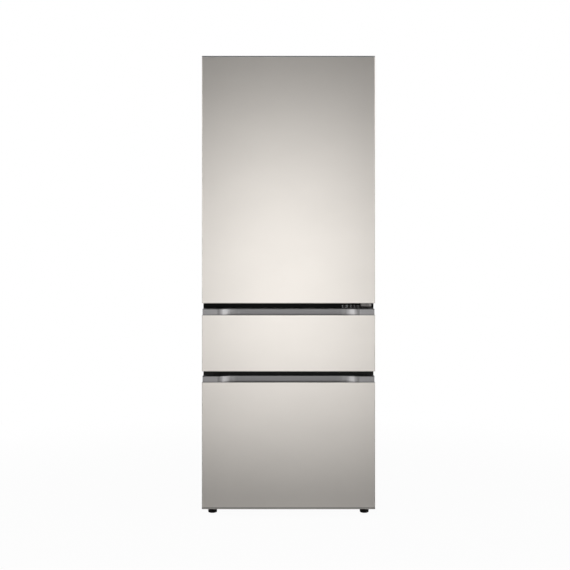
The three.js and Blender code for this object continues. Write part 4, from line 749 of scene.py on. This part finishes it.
# A pan head's outline from its sunk centre to its seat: (radius, height) in shares of its radius.
PAN_HEAD = [
    (0, 0.35),
    (0.22, 0.3),
    (0.26, 0.62),
    (0.55, 0.58),
    (0.86, 0.4),
    (1, 0.12),
    (1, 0),
    (0, 0),
]
HEAD_SIDES = 16

# Radii of the heads.
SHEET_SCREW = 3.6 * MM
BRACKET_SCREW = 3.2 * MM
COVER_SCREW = 1.5 * MM

# Insets from the sides and from the ends of what they hold.
MACHINE_COVER_INSETS = (14 * MM, 8 * MM)
BACK_PANEL_INSETS = (9 * MM, 25 * MM)
BRACKET_INSETS = (8 * MM, 7.6 * MM)
HINGE_COVER_INSET = 22 * MM

BACK_SHEET = 1.2 * MM
BACK_PANEL_ROWS = 7
MACHINE_COVER_COLUMN = 115 * MM
# From the face of the fronts to the front of the bracket's flange.
FLANGE_SETBACK = 76 * MM
# How deep the screw's seat lies in the hinge cover's top.
COVER_SCREW_SUNK = 0.6 * MM


def screws(name, places, axis, radius):
    """Pan-head screws of that radius, their seats at the places and their heads along the axis."""
    profile = [(across * radius, along * radius) for across, along in PAN_HEAD]

    def build(bm):
        for place in places:
            add_turned(bm, profile, place, axis, HEAD_SIDES)

    finish_piece(name, mesh_from(build), "screw_steel", "root")


def machine_cover_screws():
    """Four columns and two rows, on the rear face of the cover's sheet."""
    bottom, top = low("machine_cover"), high("machine_cover")
    side, end = MACHINE_COVER_INSETS
    seat = bottom.y + BACK_SHEET
    columns = [bottom.x + side, -MACHINE_COVER_COLUMN, MACHINE_COVER_COLUMN, top.x - side]
    rows = [bottom.z + end, top.z - end]
    places = [(x, seat, z) for x in columns for z in rows]
    screws("machine_cover_screws", places, BACKWARDS, SHEET_SCREW)


def back_panel_screws():
    """A column along each side of the panel, on the rear face of its sheet."""
    bottom, top = low("back_panel"), high("back_panel")
    side, end = BACK_PANEL_INSETS
    seat = bottom.y + BACK_SHEET
    first, last = bottom.z + end, top.z - end
    rows = [first + i * (last - first) / (BACK_PANEL_ROWS - 1) for i in range(BACK_PANEL_ROWS)]
    places = [(x, seat, z) for z in rows for x in (bottom.x + side, top.x - side)]
    screws("back_panel_screws", places, BACKWARDS, SHEET_SCREW)


def bracket_screws():
    """Two screws on the front of the bracket's flange, under its arm."""
    bottom, top = low("middle_hinge"), high("middle_hinge")
    side, end = BRACKET_INSETS
    seat = FRONT_Y + FLANGE_SETBACK
    places = [(x, seat, bottom.z + end) for x in (bottom.x + side, top.x - side)]
    screws("bracket_screws", places, FORWARDS, BRACKET_SCREW)


def hinge_cover_screw():
    bottom, top = low("hinge_cover"), high("hinge_cover")
    place = ((bottom.x + top.x) / 2, top.y - HINGE_COVER_INSET, top.z - COVER_SCREW_SUNK)
    screws("hinge_cover_screw", [place], UPWARDS, COVER_SCREW)


machine_cover_screws()
back_panel_screws()
bracket_screws()
hinge_cover_screw()

# ---------------------------------------------------------------- inside the compartments

# How far the upper liner's flange stands above its ceiling, and how far the lens goes into the ceiling.
LINER_FLANGE = 6 * MM
LENS_SUNK = 0.2 * MM
LENS_HALF_WIDTH = 55 * MM
LENS_DEPTH = 34 * MM
LENS_HEIGHT = 5 * MM
LENS_SETBACK = 135 * MM
LENS_ROUNDING = 2.2 * MM

SHELF_STRIP_INSET = 12 * MM
SHELF_STRIP_PROUD = 0.9 * MM
SHELF_STRIP_SUNK = 0.4 * MM
SHELF_STRIP_HEIGHTS = (9 * MM, 16 * MM)
SHELF_STRIP_ROUNDING = 0.3 * MM

BIN_RAIL_INSET = 34 * MM
BIN_RAIL_PROUD = 1.4 * MM
BIN_RAIL_SUNK = 0.8 * MM
BIN_RAIL_DROPS = (17 * MM, 5 * MM)
BIN_RAIL_ROUNDING = 0.6 * MM


def compartment_lamp():
    front = low("upper_liner").y + LENS_SETBACK
    top = high("upper_liner").z - LINER_FLANGE + LENS_SUNK
    slab_piece(
        "compartment_lamp",
        (-LENS_HALF_WIDTH, front, top - LENS_HEIGHT),
        (LENS_HALF_WIDTH, front + LENS_DEPTH, top),
        LENS_ROUNDING,
        "lamp_lens",
        "root",
    )


def shelf_front_strips():
    """A metal strip on the front of each shelf's trim."""
    foot, head = SHELF_STRIP_HEIGHTS
    for name in ("shelf_1", "shelf_2"):
        bottom, top = low(name), high(name)
        slab_piece(
            f"{name}_strip",
            (bottom.x + SHELF_STRIP_INSET, bottom.y - SHELF_STRIP_PROUD, bottom.z + foot),
            (top.x - SHELF_STRIP_INSET, bottom.y + SHELF_STRIP_SUNK, bottom.z + head),
            SHELF_STRIP_ROUNDING,
            "handle_metal",
            "root",
        )


def bin_rails():
    """A metal rail along the top of each door bin's wall, on the side of the compartment."""
    foot, head = BIN_RAIL_DROPS
    for name in ("door_bin_1", "door_bin_2"):
        bottom, top = low(name), high(name)
        slab_piece(
            f"{name}_rail",
            (bottom.x + BIN_RAIL_INSET, top.y - BIN_RAIL_SUNK, top.z - foot),
            (top.x - BIN_RAIL_INSET, top.y + BIN_RAIL_PROUD, top.z - head),
            BIN_RAIL_ROUNDING,
            "handle_metal",
            "upper_door",
        )


compartment_lamp()
shelf_front_strips()
bin_rails()

# ---------------------------------------------------------------- levelling feet

RIBS = 28
RIB_SIZE = (1.1 * MM, 1.6 * MM, 7.2 * MM)
# The height of their middle above the floor.
RIB_LEVEL = 8.1 * MM


def foot_ribs(name):
    """Grip ribs round a foot, flush with its outline."""
    bottom, top = low(name), high(name)
    centre = (bottom + top) / 2
    radius = (top.x - bottom.x) / 2

    def build(bm):
        for i in range(RIBS):
            made = bmesh.ops.create_cube(bm, size=1.0)
            bmesh.ops.scale(bm, vec=RIB_SIZE, verts=made["verts"])
            spin = Matrix.Rotation(2 * math.pi * i / RIBS, 4, "Z")
            move = Matrix.Translation((radius - RIB_SIZE[0] / 2, 0, 0))
            bmesh.ops.transform(bm, matrix=spin @ move, verts=made["verts"])
        bmesh.ops.translate(bm, vec=(centre.x, centre.y, RIB_LEVEL), verts=bm.verts)

    mesh = mesh_from(build, smooth=False)
    finish_piece(f"{name}_ribs", mesh, "foot_rubber", BODY_OF[name])


foot_ribs("foot_left")
foot_ribs("foot_right")

# ---------------------------------------------------------------- camera

# The camera's distance from the face of the fronts, its place beside their middle, its height above
# the floor and how far it sees.
CAMERA_DISTANCE = 4.0
CAMERA_X = -0.014
CAMERA_HEIGHT = 0.932
VIEW_REACH = 60
SENSOR_MM = 36.0
# The width of the photograph's frame, and of the front in it.
FRAME_PIXELS = 570
FRONT_PIXELS = 173.5


def photo_camera():
    data = bpy.data.cameras.new("camera")
    data.sensor_width = SENSOR_MM
    frame_width = FRAME_PIXELS * (FRONT_WIDTH / FRONT_PIXELS)
    data.lens = SENSOR_MM * CAMERA_DISTANCE / frame_width
    data.clip_end = VIEW_REACH
    camera = bpy.data.objects.new("camera", data)
    bpy.context.scene.collection.objects.link(camera)
    camera.location = (CAMERA_X, FRONT_Y - CAMERA_DISTANCE, CAMERA_HEIGHT)
    camera.rotation_euler = (math.radians(90), 0, 0)
    bpy.context.scene.camera = camera


# ---------------------------------------------------------------- studio

# The studio's level for gloss: dim in front of the object, white behind it, with the turn between
# these two values of a direction's Y.
STUDIO_LEVELS = (0.02, 1.0)
STUDIO_TURN = (-0.75, -0.1)
# Its level for dull surfaces, the same all round.
DIFFUSE_LEVEL = 0.42

FLOOR_REACH = 12.0
# The floor's level for gloss: (place along Y, level).
FLOOR_GLOSS = [(-3.4, 0.62), (-0.8, 0.11), (-0.55, 0.12), (0.1, 1.0)]
# The share of plain white in the floor near the object and far from it, and the distances between
# which it changes.
WHITE_SHARES = (0.955, 1.0)
WHITE_FADE = (0.9, 3.0)

# The soft boxes. The front one's setback is from the camera, and the left one mirrors the right one.
FRONT_BOX_SETBACK = 0.6
FRONT_BOX_HEIGHT = 0.69
FRONT_BOX_SIZE = (1.12, 3.04)
FRONT_BOX_RADIANCE = 3.44
SIDE_BOX_PLACE = (4.6, -2.0, 1.1)
SIDE_BOX_SIZE = (3.4, 4.0)
SIDE_BOX_RADIANCE = 2.2
SIDE_BOX_TARGET = (0, 0, 0.95)


def ray_is(tree, *kinds):
    """1 for rays of these kinds, 0 for others."""
    path = add_node(tree, "ShaderNodeLightPath")
    total = path.outputs[kinds[0]]
    for kind in kinds[1:]:
        node = add_node(tree, "ShaderNodeMath", operation="MAXIMUM")
        tree.links.new(total, node.inputs[0])
        tree.links.new(path.outputs[kind], node.inputs[1])
        total = node.outputs[0]
    return total


def mixed_value(tree, fac, zero, one):
    """A float that goes from `zero` to `one`, each a number or an output, as fac goes from 0 to 1."""
    node = add_node(tree, "ShaderNodeMix")
    for socket, value in (("Factor", fac), ("A", zero), ("B", one)):
        if isinstance(value, (int, float)):
            node.inputs[socket].default_value = value
        else:
            tree.links.new(value, node.inputs[socket])
    return node.outputs["Result"]


def studio_world():
    """White where the camera looks, with levels of their own for gloss and for dull surfaces."""
    world = bpy.data.worlds.new("studio")
    bpy.context.scene.world = world
    world.use_nodes = True
    tree = world.node_tree
    background = tree.nodes["Background"]
    background.inputs["Color"].default_value = (1, 1, 1, 1)
    direction = add_node(tree, "ShaderNodeTexCoord").outputs["Generated"]
    studio = map_range(tree, component(tree, direction, "Y"), STUDIO_TURN, STUDIO_LEVELS, smooth=True)
    gloss = mixed_value(tree, ray_is(tree, "Is Glossy Ray"), DIFFUSE_LEVEL, studio)
    strength = mixed_value(tree, ray_is(tree, "Is Camera Ray", "Is Transmission Ray"), gloss, 1.0)
    tree.links.new(strength, background.inputs["Strength"])


def white_share(tree):
    """The share of plain white in the floor, by the distance from the object."""
    distance = add_node(tree, "ShaderNodeVectorMath", operation="LENGTH")
    tree.links.new(object_place(tree), distance.inputs[0])
    return map_range(tree, distance.outputs["Value"], WHITE_FADE, WHITE_SHARES, smooth=True)


def floor_material():
    """A pale paint that takes the object's shadow, with a share of white for camera, gloss and glass."""
    paint = Surface("pale_floor", (0.86, 0.86, 0.86), 0.9)
    paint.set("Specular IOR Level", 0.1)
    tree = paint.tree
    white = add_node(tree, "ShaderNodeEmission")
    gloss = level_ramp(tree, component(tree, object_place(tree), "Y"), FLOOR_GLOSS)
    strength = mixed_value(tree, ray_is(tree, "Is Glossy Ray"), 1.0, gloss)
    tree.links.new(strength, white.inputs["Strength"])
    seen = ray_is(tree, "Is Camera Ray", "Is Glossy Ray", "Is Transmission Ray")
    mix = add_node(tree, "ShaderNodeMixShader")
    tree.links.new(mixed_value(tree, seen, 0.0, white_share(tree)), mix.inputs["Fac"])
    tree.links.new(paint.shader.outputs["BSDF"], mix.inputs[1])
    tree.links.new(white.outputs["Emission"], mix.inputs[2])
    tree.links.new(mix.outputs["Shader"], tree.nodes["Material Output"].inputs["Surface"])
    return paint.material


def pale_floor():
    def build(bm):
        bmesh.ops.create_grid(bm, x_segments=1, y_segments=1, size=FLOOR_REACH)

    floor = bpy.data.objects.new("floor", mesh_from(build, smooth=False))
    bpy.context.scene.collection.objects.link(floor)
    floor.data.materials.append(floor_material())


def soft_box(name, place, target, size, radiance):
    """A rectangular lamp of that size and radiance, facing its target."""
    data = bpy.data.lights.new(name, "AREA")
    data.shape = "RECTANGLE"
    data.size, data.size_y = size
    data.energy = radiance * math.pi * size[0] * size[1]
    lamp = bpy.data.objects.new(name, data)
    bpy.context.scene.collection.objects.link(lamp)
    lamp.location = place
    direction = Vector(target) - Vector(place)
    lamp.rotation_euler = direction.to_track_quat("-Z", "Y").to_euler()
    lamp.visible_camera = False


def lights():
    """A tall soft box behind the camera, and one on each side."""
    front = (0, FRONT_Y - CAMERA_DISTANCE - FRONT_BOX_SETBACK, FRONT_BOX_HEIGHT)
    soft_box("front_box", front, (0, 0, FRONT_BOX_HEIGHT), FRONT_BOX_SIZE, FRONT_BOX_RADIANCE)
    x, y, z = SIDE_BOX_PLACE
    for name, side in (("left_box", -1), ("right_box", 1)):
        soft_box(name, (side * x, y, z), SIDE_BOX_TARGET, SIDE_BOX_SIZE, SIDE_BOX_RADIANCE)


studio_world()
pale_floor()
lights()
photo_camera()
bpy.context.scene.view_settings.view_transform = "Standard"
